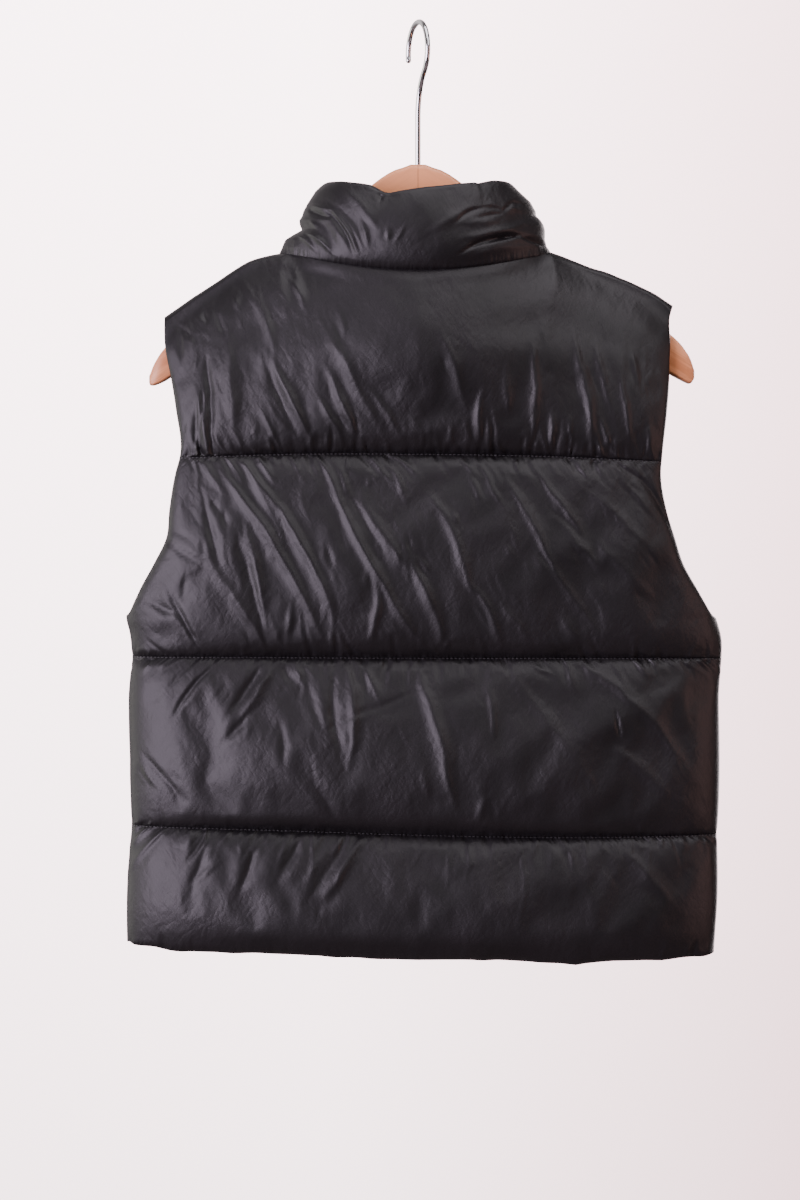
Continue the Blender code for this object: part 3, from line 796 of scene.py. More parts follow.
    def hang(self, grid: ClothGrid, outer: Points, x: Points, z: Points) -> None:
        """Lets each channel overhang its lower seam, and the hem roll, wave and sag.

        Args:
            grid: The panel.
            outer: Its outside, which is changed.
            x: How far to the wearer's right each point was before its folds.
            z: How high it was before its folds.
        """
        full = self.form.fullness(grid.down, 1.0) * grid.fade
        outer[..., 2] -= self.overhang * (smooth((grid.down - self.hang_from) / self.hang_from) * full)
        last = slice(-self.channel_rows[-1], None)
        x, z, down, fade = x[last], z[last], grid.down[last], grid.fade[last]
        at_hem = smooth((down - (1 - self.hem_share)) / self.hem_share)
        waves = sum(layer.relief(x, z, self.seed) for layer in self.hem_waves)
        roll = self.hem_roll * at_hem * (self.hem_roll_mean + waves) * smooth(fade / self.hem_fade)
        outer[last, :, 2] -= roll
        sag_x, sag = (np.array(values) for values in zip(*self.hem_sag))
        sag = np.interp(x / MM, sag_x, sag) * MM
        outer[last, :, 2] -= sag * smooth((down - (1 - self.sag_share)) / self.sag_share)

    def creased(self, grid: ClothGrid) -> Points:
        """The outside with its folds, gathers, hollows and overhanging lower edges.

        Args:
            grid: The panel.

        Returns:
            Rows of points on the outside.
        """
        across = grid.inner[..., 0] / np.abs(grid.inner[..., 0]).max(axis=1, keepdims=True)
        rise, dip = self.barrel
        barrel = self.form.fullness(grid.down, 1.0) * grid.fade * (rise - dip * across**2)
        plain = grid.outer() + grid.direction * barrel[..., None]
        x, z = plain[..., 0], plain[..., 2]
        outer = plain + grid.direction * self.relief(grid, x, z)[..., None]
        self.hang(grid, outer, x, z)
        return outer


@dataclass
class StandCollar:
    """The padded stand collar, sewn to the neck all round and open at the centre front."""

    name: str = "stand_collar"
    top_half_width: float = 0.055
    back_top_z: float = -0.1083
    side_top_z: float = -0.103
    front_top_z: float = -0.143
    fill: float = 0.0105
    lean: float = 0.55
    back_drop: float = 0.0115
    front_drop: float = 0.052
    softness: float = 0.5
    quarter_columns: int = 108
    rows: int = 78
    row_gather: float = 0.8
    back_blend: Pair = (0.004, 0.008)
    bulge_depth: float = 0.7
    inner_bulge_share: float = 0.3
    fold_ends: Pair = (0.08, 0.06)
    fold_fade: float = 0.6
    waves: tuple[Waves, Waves] = (Waves(0.0006, 0.022, 0.016, 0), Waves(0.00018, 0.007, 0.009, 1))
    seed: int = 31
    form: BodyForm = FORM

    def quarter(self, side: Side, facing: Facing, centre: float, drop: float, top_z: float) -> ClothGrid:
        """A quarter of the collar.

        Args:
            side: The wearer's side.
            facing: Whether it is at the back or the front.
            centre: How far from the middle it starts.
            drop: How far its seam hangs below the shoulder's.
            top_z: The height of its top edge at its centre.

        Returns:
            Rows from the top down, columns from the centre out.
        """
        form = self.form
        across = np.sin(np.linspace(0, math.pi / 2, self.quarter_columns + 1))
        ring, ring_facing = form.neck_ring(centre, drop, across)
        signs = (side.value, facing.value, 1)
        up = 1 - spaced(self.rows, self.row_gather)[:, None]
        narrowing = (self.top_half_width - form.neck_half_width) * up**self.lean
        x = ring[:, 0] + narrowing * across
        y = np.broadcast_to(ring[:, 1], x.shape)
        base = ring[:, 2] - form.seam_lap
        top = top_z + (self.side_top_z - top_z) * across**2
        z = base + (top - base) * up
        inner = np.stack([x, y, z], axis=-1) * signs
        lift = np.ones((len(up), 1, 3))
        lift[..., 2] = (1 - up) ** 2
        direction = unit(ring_facing * lift) * signs
        rise = quarter_arc((ring[:, 0] - centre) / form.centre_reach) if centre else np.ones(len(ring))
        wall = SEAM_WALL + (self.fill - SEAM_WALL) * form.fullness(1 - up, self.softness) * rise
        down = np.broadcast_to(1 - up, x.shape)
        fade = np.broadcast_to(rise, x.shape)
        return ClothGrid(inner, direction, wall, down, fade, np.full_like(x, FAR_OFF), z - base)

    def grid(self) -> ClothGrid:
        """The whole collar.

        Returns:
            Columns from the left front edge round the back to the right front edge.
        """
        front = (self.form.centre_edge, self.front_drop, self.front_top_z)
        back = (0.0, self.back_drop, self.back_top_z)
        quarters = [
            self.quarter(side, facing, *sizes)
            for side, facing, sizes in (
                (Side.LEFT, Facing.FRONT, front),
                (Side.LEFT, Facing.BACK, back),
                (Side.RIGHT, Facing.BACK, back),
                (Side.RIGHT, Facing.FRONT, front),
            )
        ]

        def strip(name: str) -> Points:
            """One kind of value all round."""
            a, b, c, d = (getattr(quarter, name) for quarter in quarters)
            return np.concatenate([a[:, :-1], b[:, :0:-1], c[:, :-1], d[:, ::-1]], axis=1)

        return ClothGrid(*(strip(name) for name in ClothGrid.__dataclass_fields__))

    def slouched(self, grid: ClothGrid) -> tuple[Points, Points]:
        """The collar slouched: a wavy top edge and its folds.

        Args:
            grid: The whole collar.

        Returns:
            Rows of points on the inside and on the outside.
        """
        inner = grid.inner.copy()
        front_y, blend = self.back_blend
        on_back = smooth((front_y - inner[..., 1]) / blend)
        rim_x, rim_lift = (np.array(values) for values in zip(*COLLAR_RIM))
        lifted = np.interp(inner[..., 0] / MM, rim_x, rim_lift) * MM
        up = 1 - grid.down
        inner[..., 2] += lifted * up**2 * on_back
        heights, *sides = (np.array(values) for values in zip(*COLLAR_SIDES))
        left, right = (np.interp(inner[..., 2] / MM, heights[::-1], side[::-1]) for side in sides)
        bulge = np.where(inner[..., 0] < 0, -left, right) * MM
        reach = self.bulge_depth * self.form.neck_half_depth
        bulge = bulge * (1 - smooth(np.abs(inner[..., 1]) / reach))
        outer = inner + grid.direction * grid.wall[..., None]
        inner[..., 0] += bulge * smooth(up / self.inner_bulge_share)
        outer[..., 0] += bulge
        x, z = outer[..., 0], outer[..., 2]
        back = FOLDS.relief(x, z, COLLAR_CREASES, Taper.BOTH_ENDS)
        front = FOLDS.relief(x, z, COLLAR_FRONT_CREASES, Taper.BOTH_ENDS)
        lift = back * on_back + front * (1 - on_back)
        for waves in self.waves:
            lift = lift + waves.relief(x, z, self.seed)
        lift = lift * off_ends(grid.down, *self.fold_ends) * smooth(grid.fade / self.fold_fade)
        return inner, outer + grid.direction * lift[..., None]


# --- Making cloth ---------------------------------------------------------------------------------


def grid_faces(rows: int, columns: int, first: int = 0) -> Points:
    """Four corners for each square of a grid of points, row by row."""
    corner = np.arange(rows - 1)[:, None] * columns + np.arange(columns - 1) + first
    return np.stack([corner, corner + 1, corner + columns + 1, corner + columns], -1).reshape(-1, 4)


def grid_rim(rows: int, columns: int) -> Points:
    """The points round a grid's border.

    Args:
        rows: How many rows of points the grid has.
        columns: How many points each row has.

    Returns:
        The points' numbers in order.
    """
    top = np.arange(columns)
    right = np.arange(1, rows) * columns + columns - 1
    bottom = np.arange(columns - 2, -1, -1) + (rows - 1) * columns
    left = np.arange(rows - 2, 0, -1) * columns
    return np.concatenate([top, right, bottom, left])


def new_object(name: str, points: Points, faces: list, edges: list = ()) -> Piece:
    """A mesh object in the scene, at the origin.

    Args:
        name: Its name.
        points: Its corners' places.
        faces: Each face's corners.
        edges: The ends of each edge that no face has.

    Returns:
        The object.
    """
    mesh = bpy.data.meshes.new(name)
    mesh.from_pydata(points.reshape(-1, 3).tolist(), edges, faces)
    mesh.update()
    made = bpy.data.objects.new(name, mesh)
    bpy.context.scene.collection.objects.link(made)
    return made


def keep_seams(piece: Piece, grid: ClothGrid) -> None:
    """Stores how far each point of a shell's outside is from the seams above and below it.

    Args:
        piece: The shell.
        grid: What it was made from.
    """
    for name in ("below_seam", "above_seam"):
        values = np.full(len(piece.data.vertices), FAR_OFF)
        outside = getattr(grid, name).ravel()
        values[: len(outside)] = outside
        piece.data.attributes.new(name, "FLOAT", "POINT").data.foreach_set("value", values)


def cloth_shell(name: str, inner: Points, outer: Points, direction: Points, step: int = 1) -> Piece:
    """A closed shell between two grids of points, with the cut's own map in metres.

    Args:
        name: The new piece's name.
        inner: Rows of points on the inside.
        outer: The same rows on the outside.
        direction: Which way the outside faces at each point.
        step: How many of the outside's squares the inside's squares span.

    Returns:
        The piece, with its faces pointing outwards.
    """
    rows, columns = outer.shape[:2]
    inner = inner[::step, ::step]
    inner_rows, inner_columns = inner.shape[:2]
    count = rows * columns
    outside = grid_faces(rows, columns)
    inside = grid_faces(inner_rows, inner_columns, count)[:, ::-1]
    rim, inner_rim = grid_rim(rows, columns), grid_rim(inner_rows, inner_columns) + count
    following = np.roll(inner_rim, -1)
    fine = np.stack([np.roll(rim, -past)[::step] for past in range(step, -1, -1)], axis=-1)
    edge = np.concatenate([fine, inner_rim[:, None], following[:, None]], axis=-1)
    faces = [*outside.tolist(), *inside.tolist(), *edge.tolist()]
    flat = outer.reshape(-1, 3)
    across = np.cross(flat[outside[:, 1]] - flat[outside[:, 0]], flat[outside[:, 3]] - flat[outside[:, 0]])
    if np.sum(across * direction.reshape(-1, 3)[outside[:, 0]]) < 0:
        faces = [face[::-1] for face in faces]
    made = new_object(name, np.concatenate([flat, inner.reshape(-1, 3)]), faces)
    cut_map = made.data.uv_layers.new(name="cut")
    places = np.concatenate([flat[:, (0, 2)], inner[..., (0, 2)].reshape(-1, 2)])
    loops = np.empty(len(made.data.loops), dtype=int)
    made.data.loops.foreach_get("vertex_index", loops)
    cut_map.data.foreach_set("uv", places[loops].ravel())
    made.data.shade_smooth()
    made.data.set_sharp_from_angle(angle=SHELL_SHARP)
    return made


@dataclass(frozen=True)
class ClothSettling:
    """Blender's cloth simulation for a padded piece's outside, held along its seams."""

    step: int = 2
    frames: int = 14
    steps: int = 4
    mass: float = 0.06
    pressure: float = 4.0
    tension: float = 12.0
    shear: float = 6.0
    bending: float = 4.0
    hold: float = 0.35
    extra_width: float = 0.03
    extra_length: float = 0.02

    def grip(self, grid: ClothGrid, seam: float, least: float) -> Points:
        """How firmly the simulation holds a piece.

        Args:
            grid: The piece.
            seam: The share of a channel over which its seams' hold ends.
            least: The hold between the seams. Where less fill than this is left, the edge is held.

        Returns:
            The hold at each point, from 0 to 1.
        """
        held = 1 - smooth(np.minimum(grid.down, 1 - grid.down) / seam)
        return np.maximum(np.maximum(held, (grid.fade < least) * 1.0), least)

    def settled(self, points: Points, held: Points) -> Points:
        """The outside moved as a coarser copy of it settles, so that its fine folds stay crisp.

        Args:
            points: Rows of points on the outside.
            held: How firmly each point stays, from 0 to 1.

        Returns:
            The same rows, settled.
        """
        rows, columns = (
            np.unique(np.append(np.arange(0, count, self.step), count - 1)) for count in points.shape[:2]
        )
        coarse = points[np.ix_(rows, columns)]
        moved = self.settle(coarse, held[np.ix_(rows, columns)]) - coarse
        every_row, every_column = (np.arange(count) for count in points.shape[:2])
        for axis, (known, every) in enumerate(((rows, every_row), (columns, every_column))):
            after = np.clip(np.searchsorted(known, every, side="right"), 1, len(known) - 1)
            share = (every - known[after - 1]) / (known[after] - known[after - 1])
            share = share[:, None, None] if axis == 0 else share[None, :, None]
            low, high = np.take(moved, after - 1, axis), np.take(moved, after, axis)
            moved = low + (high - low) * share
        return points + moved

    def settle(self, points: Points, held: Points) -> Points:
        """The coarse outside after the simulation.

        Args:
            points: Rows of points on the outside.
            held: How firmly each point stays, from 0 to 1.

        Returns:
            The same rows, settled.
        """
        rows, columns = points.shape[:2]
        sheet = new_object("settling_sheet", points, grid_faces(rows, columns).tolist())
        group = sheet.vertex_groups.new(name="held")
        weights = np.round(held.ravel(), 2)
        for weight in np.unique(weights):
            group.add(np.flatnonzero(weights == weight).tolist(), float(weight), "REPLACE")
        sheet.shape_key_add(name="Basis")
        cut = sheet.shape_key_add(name="cut")
        cut.data.foreach_set("co", (points * (1 + self.extra_width, 1, 1 + self.extra_length)).ravel())
        cloth = sheet.modifiers.new("settling", "CLOTH")
        settings = {
            "rest_shape_key": cut, "quality": self.steps, "mass": self.mass, "shear_stiffness": self.shear,
            "tension_stiffness": self.tension, "compression_stiffness": self.tension,
            "bending_stiffness": self.bending, "vertex_group_mass": "held", "pin_stiffness": self.hold,
            "use_pressure": True, "uniform_pressure_force": self.pressure,
        }
        for name, value in settings.items():
            setattr(cloth.settings, name, value)
        cloth.settings.effector_weights.gravity = 0
        cloth.collision_settings.use_collision = False
        cloth.point_cache.frame_end = self.frames
        scene = bpy.context.scene
        for step in range(1, self.frames + 1):
            scene.frame_set(step)
        result = sheet.evaluated_get(bpy.context.evaluated_depsgraph_get())
        settled = np.empty(points.size)
        result.data.vertices.foreach_get("co", settled)
        bpy.data.objects.remove(sheet)
        scene.frame_set(1)
        return settled.reshape(points.shape)


# --- The folds of each piece, in millimetres ------------------------------------------------------


BACK_CREASES = rows_of(
    Crease,
    (-119, -174, -114, -182, 1.5, 2.6), (-81, -163, -72, -178, 1.6, 3.2), (-96, -181, -92, -200, 1, 3.8),
    (-110, -167, -99, -186, 1.1, 3.4), (-137, -181, -134, -193, -1.4, 2.8),
    (-129, -184, -121, -200, -1.3, 3.4), (-143, -186, -131, -194, 1, 2.2),
    (-120, -198, -115, -258, 2.8, 8, 1), (-134, -214, -129, -270, -3.2, 4.5),
    (-141, -241, -138, -272, -2.6, 3.4), (-139, -240, -131, -272, 1.6, 3),
    (-91.5, -218, -69.5, -266, 2.8, 4.2), (-98, -216, -77, -264, -1.6, 4.2),
    (-62, -240, -50, -263, 2, 3.6), (-58.5, -221, -39, -266, 2.6, 4.2, -2),
    (-61, -193, -23, -261, 1.7, 5), (-33, -234, -11, -265, 1.7, 3, -2), (-78, -163, -71, -184, 1.3, 4),
    (-102, -170, -90, -212, 1.4, 5), (-155, -192, -139, -204, -1.2, 2.6),
    (-152, -197, -150, -216, -1.6, 3), (-96, -238, -80, -260, -0.8, 1.6),
    (14, -202, 29, -244, 1.6, 5, -2), (40, -236, 41, -271, 2, 3.2, 2.5), (20, -256, 19, -272, 1.7, 2.6),
    (55, -225, 56, -248, 1.4, 4), (73, -206, 71, -270, 2.4, 4.2, -1), (84, -247, 83, -272, 1.6, 2.8),
    (99, -204, 110, -274, 2.8, 5.6, -2), (112, -207, 121, -243, 1.6, 4), (115, -252, 123, -272, 1.6, 3),
    (128, -226, 134, -263, 1.9, 3), (135, -211, 139, -231, 1.4, 3), (146, -255, 149, -278, 2.3, 4.6),
    (-123.5, -289, -61, -389, 3, 5, -4), (-115, -279, -50, -388, 3, 4.6, -8),
    (-111, -281, -90, -320, 1.8, 4), (-61, -277, 4, -397, 3.2, 4.6, 5),
    (-46, -285, -22, -336, -2.2, 4.6, 2), (-50, -288, 4, -358, 2, 7, 2),
    (-135, -310, -124, -350, -2.8, 4.6), (-114, -328, -98, -384, -2.8, 4.6),
    (-108, -326, -97, -380, 2.4, 4.6), (-123.5, -312, -121, -324, -1.6, 3.6),
    (-161, -329, -128, -347, -1.5, 2.4, 3), (-160, -355, -137, -399, -2.2, 2.4, 1),
    (-171, -369, -152, -375, -2.2, 4.6), (-135, -343, -96, -398, 2, 4, -2),
    (-80, -370, -82, -388, 1.6, 3), (-29, -354, -30, -394, 2.6, 4.2, -4),
    (-55, -385, -54, -399, 1.5, 2.8), (-137, -278, -126, -298, 1.6, 3.4), (-17, -278, -9, -303, 1.9, 3.4),
    (4, -299, 33.5, -358, 2, 5.6, -4), (37, -278, 51, -303, 1.2, 2.8), (32, -287, 39, -304, 1, 2.8),
    (57, -293, 82, -341, 1.9, 4.8, -2), (82, -294, 105, -328, 1.3, 4.4), (90, -319, 114, -347, 1, 4.6),
    (104, -296, 146, -334, 1.1, 6), (128, -290, 153, -316, 1, 4), (73, -283, 97, -318, 1, 3.2),
    (113, -332, 150, -368, 1.1, 5.6), (78, -338, 112, -384, 1, 4), (22, -330, 36, -364, 1.1, 3.4),
    (-6, -338, 14, -394, 2.8, 5.2, -4), (35, -358, 53, -402, 1.7, 4.2, -4.5),
    (56, -372, 69, -394, 1.2, 4), (88, -375, 104, -394, 1, 4), (121, -279, 163, -331, -2.2, 2.8, -9),
    (-128, -408, -155, -443, -2.2, 2.4, 2.5), (-136, -426, -130, -498, -0.9, 14),
    (-98, -410, -118, -438, -3, 4.4), (-91, -412, -112, -441, 2, 4.4), (-109, -441, -122, -456, -2, 4),
    (-80, -405, -73, -423, 2, 3.2), (-45, -409, -43, -468, 3, 5, -4), (-52, -410, -49, -466, -2.8, 5, 3),
    (-34, -410, -24, -431, 1.8, 3.2), (-3, -409, 23, -497, 2.8, 5.8, -3),
    (-175, -464, -153, -488, -1.8, 2.4), (-66, -453, 5, -422, -0.7, 2.2),
    (44, -419, 49, -456, 1.4, 3.2, -1.5), (41, -489, 36, -508, 1.2, 3.2),
    (54, -409, 112, -490, 0.9, 7, -3), (95, -404, 175, -482, 1.9, 6, -9), (121, -460, 162, -492, 1.3, 6),
    (-72, -418, -60, -452, -1.2, 4), (-88, -448, -84, -474, -1.2, 3.6), (-66, -482, -48, -508, -1.6, 6),
    (4, -470, 7, -492, 1, 3), (-133, -515, -148, -534, -2.4, 3.2), (-136, -524, -143, -552, -1.6, 5),
    (-95, -514, -112, -551, -3.2, 5), (-98, -521, -106, -542, 2.2, 3.6),
    (-75, -519, -86, -541, -2.6, 4.8), (-36, -518, -60, -558, 2.6, 4.6), (-46, -522, -68, -556, -2, 4.6),
    (28, -518, 30, -540, 1.4, 2.8, -3), (129, -526, 160, -559, 1.4, 5, -1.5),
    (86, -522, 84, -538, 0.6, 3.4),
)
BACK_PUCKERS = rows_of(
    Puckers,
    (0, False, 52, -10, -4, 17, 2.0), (0, True, 34, 26, 38, 20, 1.5), (1, False, 40, -14, -8, 13, 1.5),
    (1, True, 60, -48, 44, 15, 1.3), (2, False, 30, -12, -6, 9, 0.9), (2, True, 56, -42, 24, 17, 1.5),
    (3, False, 44, -16, 12, 8, 0.9),
)

FRONT_CREASES = rows_of(
    Crease,
    (62, -198, 44, -258, 2.6, 5.5, 3), (124, -202, 110, -264, 2.6, 5), (34, -212, 26, -258, 2, 4),
    (90, -216, 80, -264, 2, 4.2, -2), (139, -214, 134, -268, -2.4, 4), (104, -180, 88, -222, 1.5, 5),
    (36, -298, 70, -386, 2.8, 5.2, -5), (62, -282, 84, -330, 2, 4.2, 2),
    (110, -302, 128, -374, 2.6, 4.8, 3), (92, -286, 116, -342, -2.2, 4.6), (140, -320, 160, -372, 2, 4.4),
    (22, -330, 40, -392, 1.8, 4.4, -2), (150, -356, 172, -386, -2.2, 4.2),
    (52, -422, 34, -492, 2.6, 5.2, 3), (118, -426, 142, -490, 2.6, 5, -4),
    (86, -410, 76, -462, -2.4, 4.6, 2), (70, -412, 64, -448, 1.8, 3.6), (146, -412, 166, -446, 2, 4),
    (26, -452, 20, -502, 1.6, 4), (80, -530, 94, -574, 2.2, 5, -2), (44, -522, 34, -556, -2.4, 4.6),
    (58, -520, 52, -544, 2, 3.4), (124, -522, 142, -562, 2, 4.6, 2),
)
FRONT_PUCKERS = rows_of(
    Puckers,
    (0, False, 52, -6, 8, 16, 1.9), (0, True, 40, -30, 30, 18, 1.5), (1, False, 40, -8, 10, 12, 1.5),
    (1, True, 56, -42, 42, 15, 1.3), (2, False, 30, -8, 8, 9, 0.9), (2, True, 52, -30, 30, 15, 1.4),
    (3, False, 44, -12, 12, 8, 0.9),
)
# X, and how far the hem sags there.
HEM_SAG = (
    (-186, -1.5), (-181, 0.2), (-168, 0.4), (-158, 1.6), (-150, 2.2), (-116, 1.0), (-90, 0.0), (-50, 0.5),
    (-30, 1.3), (0, 1.0), (35, -0.8), (60, -0.4), (90, 0.3), (100, 1.2), (106, 0.3), (124, -0.2), (155, 0.9),
    (175, 0.2), (184, 0.6),
)
# X, and how far the collar's top edge rises there.
COLLAR_RIM = (
    (-64, -1.0), (-58, 1.2), (-53, 2.0), (-46, 2.6), (-34, 2.2), (-29, 1.5), (-21, -2.6), (-17, -3.0),
    (-10, -1.2), (4, 1.1), (14, 1.8), (26, 2.7), (34, 2.8), (36, 1.9), (46, 3.2), (52, 2.4), (57, 0.8),
    (62, -1.6),
)
# Z, and how far the collar's left and right sides bulge there.
COLLAR_SIDES = (
    (-100, 0.0, 0.0), (-107, 2.6, 1.6), (-114, 2.6, 4.4), (-121, 2.2, 4.2), (-124.5, 1.2, 2.5),
    (-128, 1.3, 3.6), (-132, -0.8, 3.8), (-136, -3.8, 3.2), (-140, 0.6, 1.8), (-143, 3.6, 0.5),
    (-148, 3.6, 0.0),
)
COLLAR_CREASES = rows_of(
    Crease,
    (-70, -119, -56, -126, -2.4, 2.2, 1), (-69, -115.5, -55, -121.5, 2, 2.8),
    (-58, -117, -38, -151, 2.6, 2, -2.5), (-60.5, -119.5, -41.5, -151, -1.8, 2.2, -2.5),
    (-54.5, -118, -35, -148, 1.4, 1.6, -2.5), (-72, -134.5, -55, -149, 2.4, 2.4, -1.5),
    (-77.5, -135.5, -66, -146.5, 1.8, 2, -1), (-69, -127, -64.5, -132, 1.4, 1.8),
    (-64, -126, -52, -146, -1.6, 5), (-45, -107, -28, -131, 1.8, 6.5),
    (-37.5, -127, -31, -145, 1.4, 2.2, -1), (-19.5, -134, -18, -141, 1.2, 1.8),
    (-14, -142, -9.5, -133, 1, 1.8), (-24, -109, -26, -117, -1.6, 2.2),
    (25, -130, 41, -120.5, -2.2, 2.2, -1.5), (41, -120.5, 54.5, -122, -1.8, 2, -1),
    (38, -127.5, 55, -123.5, -1.6, 1.9, -0.5), (54, -122, 61, -115, -2.2, 2),
    (60, -115, 67, -116, -1.6, 2.2), (55, -118.5, 66, -120, 1.2, 2.6), (30, -131, 52, -129, 1.2, 4.5),
    (28, -149, 67, -136.5, -3.6, 2.8, -2.5), (44, -143.5, 66, -136.5, -2.6, 2.4, -1),
    (66, -138, 83, -142, -3.4, 2.4, -1), (34, -152, 68, -144, 1.6, 5, -1),
    (30, -140, 68, -129, 1.8, 5.5, 2), (8, -136, 30, -122, 1.2, 5),
)
COLLAR_FRONT_CREASES = rows_of(
    Crease,
    (48, -140, 30, -172, 2, 3.4), (60, -126, 50, -152, -2, 3.4), (26, -158, 16, -190, 1.6, 3.2),
    (-30, -152, -22, -186, 1.8, 3.4), (-52, -136, -46, -164, -2.2, 3.2), (-64, -124, -56, -146, 1.8, 3),
)


# --- Finishes -------------------------------------------------------------------------------------


class NodeTree:
    """A material's or a world's nodes, with short calls to add and link them."""

    def __init__(self, tree: bpy.types.NodeTree) -> None:
        """Keeps the tree."""
        self.tree = tree

    def node(self, kind: str, inputs: dict | None = None, **settings: object) -> bpy.types.Node:
        """Adds a node.

        Args:
            kind: The node's type, without "ShaderNode".
            inputs: A value, or another node's output, for each named or numbered input.
            settings: The node's own properties.

        Returns:
            The node.
        """
        made = self.tree.nodes.new("ShaderNode" + kind)
        for name, value in settings.items():
            setattr(made, name, value)
        for name, value in (inputs or {}).items():
            if isinstance(value, Socket):
                self.tree.links.new(value, made.inputs[name])
            else:
                made.inputs[name].default_value = value
        return made

    def maths(self, operation: str, *values: float | Socket) -> Socket:
        """One step of arithmetic on numbers and outputs."""
        return self.node("Math", dict(enumerate(values)), operation=operation).outputs["Value"]

    def ranged(self, value: Socket, *ends: float | Socket, soft: bool = False) -> Socket:
        """A value mapped from one range to another.

        Args:
            value: The value.
            ends: The first range's low and high end, then the second range's.
            soft: Whether it eases in and out.

        Returns:
            The mapped value.
        """
        kind = "SMOOTHSTEP" if soft else "LINEAR"
        inputs = dict(enumerate((value, *ends)))
        return self.node("MapRange", inputs, interpolation_type=kind).outputs["Result"]


class Recipe(NodeTree):
    """A material under construction."""

    def __init__(self, name: str, colour: Triple, roughness: float) -> None:
        """Starts a material.

        Args:
            name: Its name.
            colour: Its colour all over.
            roughness: Its roughness all over.
        """
        self.material = bpy.data.materials.new(name)
        self.material.use_nodes = True
        super().__init__(self.material.node_tree)
        self.shader = self.tree.nodes["Principled BSDF"]
        self.set(colour=(*colour, 1), roughness=roughness)

    def set(self, **values: object) -> None:
        """Sets the shader's own sockets, named in lower case with underscores."""
        names = {"colour": "Base Color", "ior_level": "Specular IOR Level"}
        for name, value in values.items():
            socket = names.get(name, name.replace("_", " ").title())
            self.shader.inputs[socket].default_value = value

    def link(self, output: Socket, socket: str) -> None:
        """Feeds one of the shader's sockets."""
        self.tree.links.new(output, self.shader.inputs[socket])

    def cut(self) -> Socket:
        """The piece's cut map, in metres."""
        return self.node("UVMap", uv_map="cut").outputs["UV"]

    def place(self, scale: Triple, turn: Triple = (0, 0, 0), cut_map: bool = False) -> Socket:
        """Where each point is, scaled and turned.

        Args:
            scale: How often a pattern repeats in a metre.
            turn: How the pattern is turned.
            cut_map: Whether it lies on the piece's cut map, not on object coordinates.

        Returns:
            The coordinates.
        """
        source = self.cut() if cut_map else self.node("TexCoord").outputs["Object"]
        mapping = self.node("Mapping", {"Vector": source, "Rotation": turn, "Scale": scale})
        return mapping.outputs["Vector"]

    def leaning(self, width: float, length: float, lean: float) -> Socket:
        """The cut map measured across and along a lean, in units of a fold's width and length."""
        turned = {"Vector": self.cut(), "Rotation": (0, 0, lean), "Scale": (width, length, 1)}
        return self.node("Mapping", turned, vector_type="TEXTURE").outputs["Vector"]

    def noise(self, where: Socket, detail: float) -> Socket:
        """Noise with a period of 1 in the given coordinates."""
        inputs = {"Vector": where, "Scale": 1.0, "Detail": detail, "Roughness": 0.5}
        return self.node("TexNoise", inputs).outputs["Fac"]

    def stripes(self, where: Socket, scale: float, way: str = "X") -> Socket:
        """Even stripes across one axis of the given coordinates."""
        return self.node("TexWave", {"Vector": where, "Scale": scale}, bands_direction=way).outputs["Fac"]

    def ramp(self, value: Socket, stops: tuple) -> Socket:
        """Colours along a value from 0 to 1.

        Args:
            value: The value.
            stops: A place and a colour each.

        Returns:
            The colour.
        """
        made = self.node("ValToRGB", {"Fac": value})
        elements = made.color_ramp.elements
        while len(elements) < len(stops):
            elements.new(0.5)
        for element, (place, colour) in zip(elements, stops):
            element.position = place
            element.color = (*colour, 1)
        return made.outputs["Color"]

    def spread(self, value: Socket, low: float, high: float) -> Socket:
        """A value from 0 to 1 spread between two others."""
        return self.ranged(value, 0.0, 1.0, low, high)

    def bumps(self, *layers: tuple[Socket, float, float]) -> None:
        """Bumps on top of each other.

        Args:
            layers: The height, its depth in metres and its strength of each.
        """
        normal = None
        for height, depth, strength in layers:
            inputs = {"Height": height, "Distance": depth, "Strength": strength}
            if normal is not None:
                inputs["Normal"] = normal
            normal = self.node("Bump", inputs).outputs["Normal"]
        self.link(normal, "Normal")


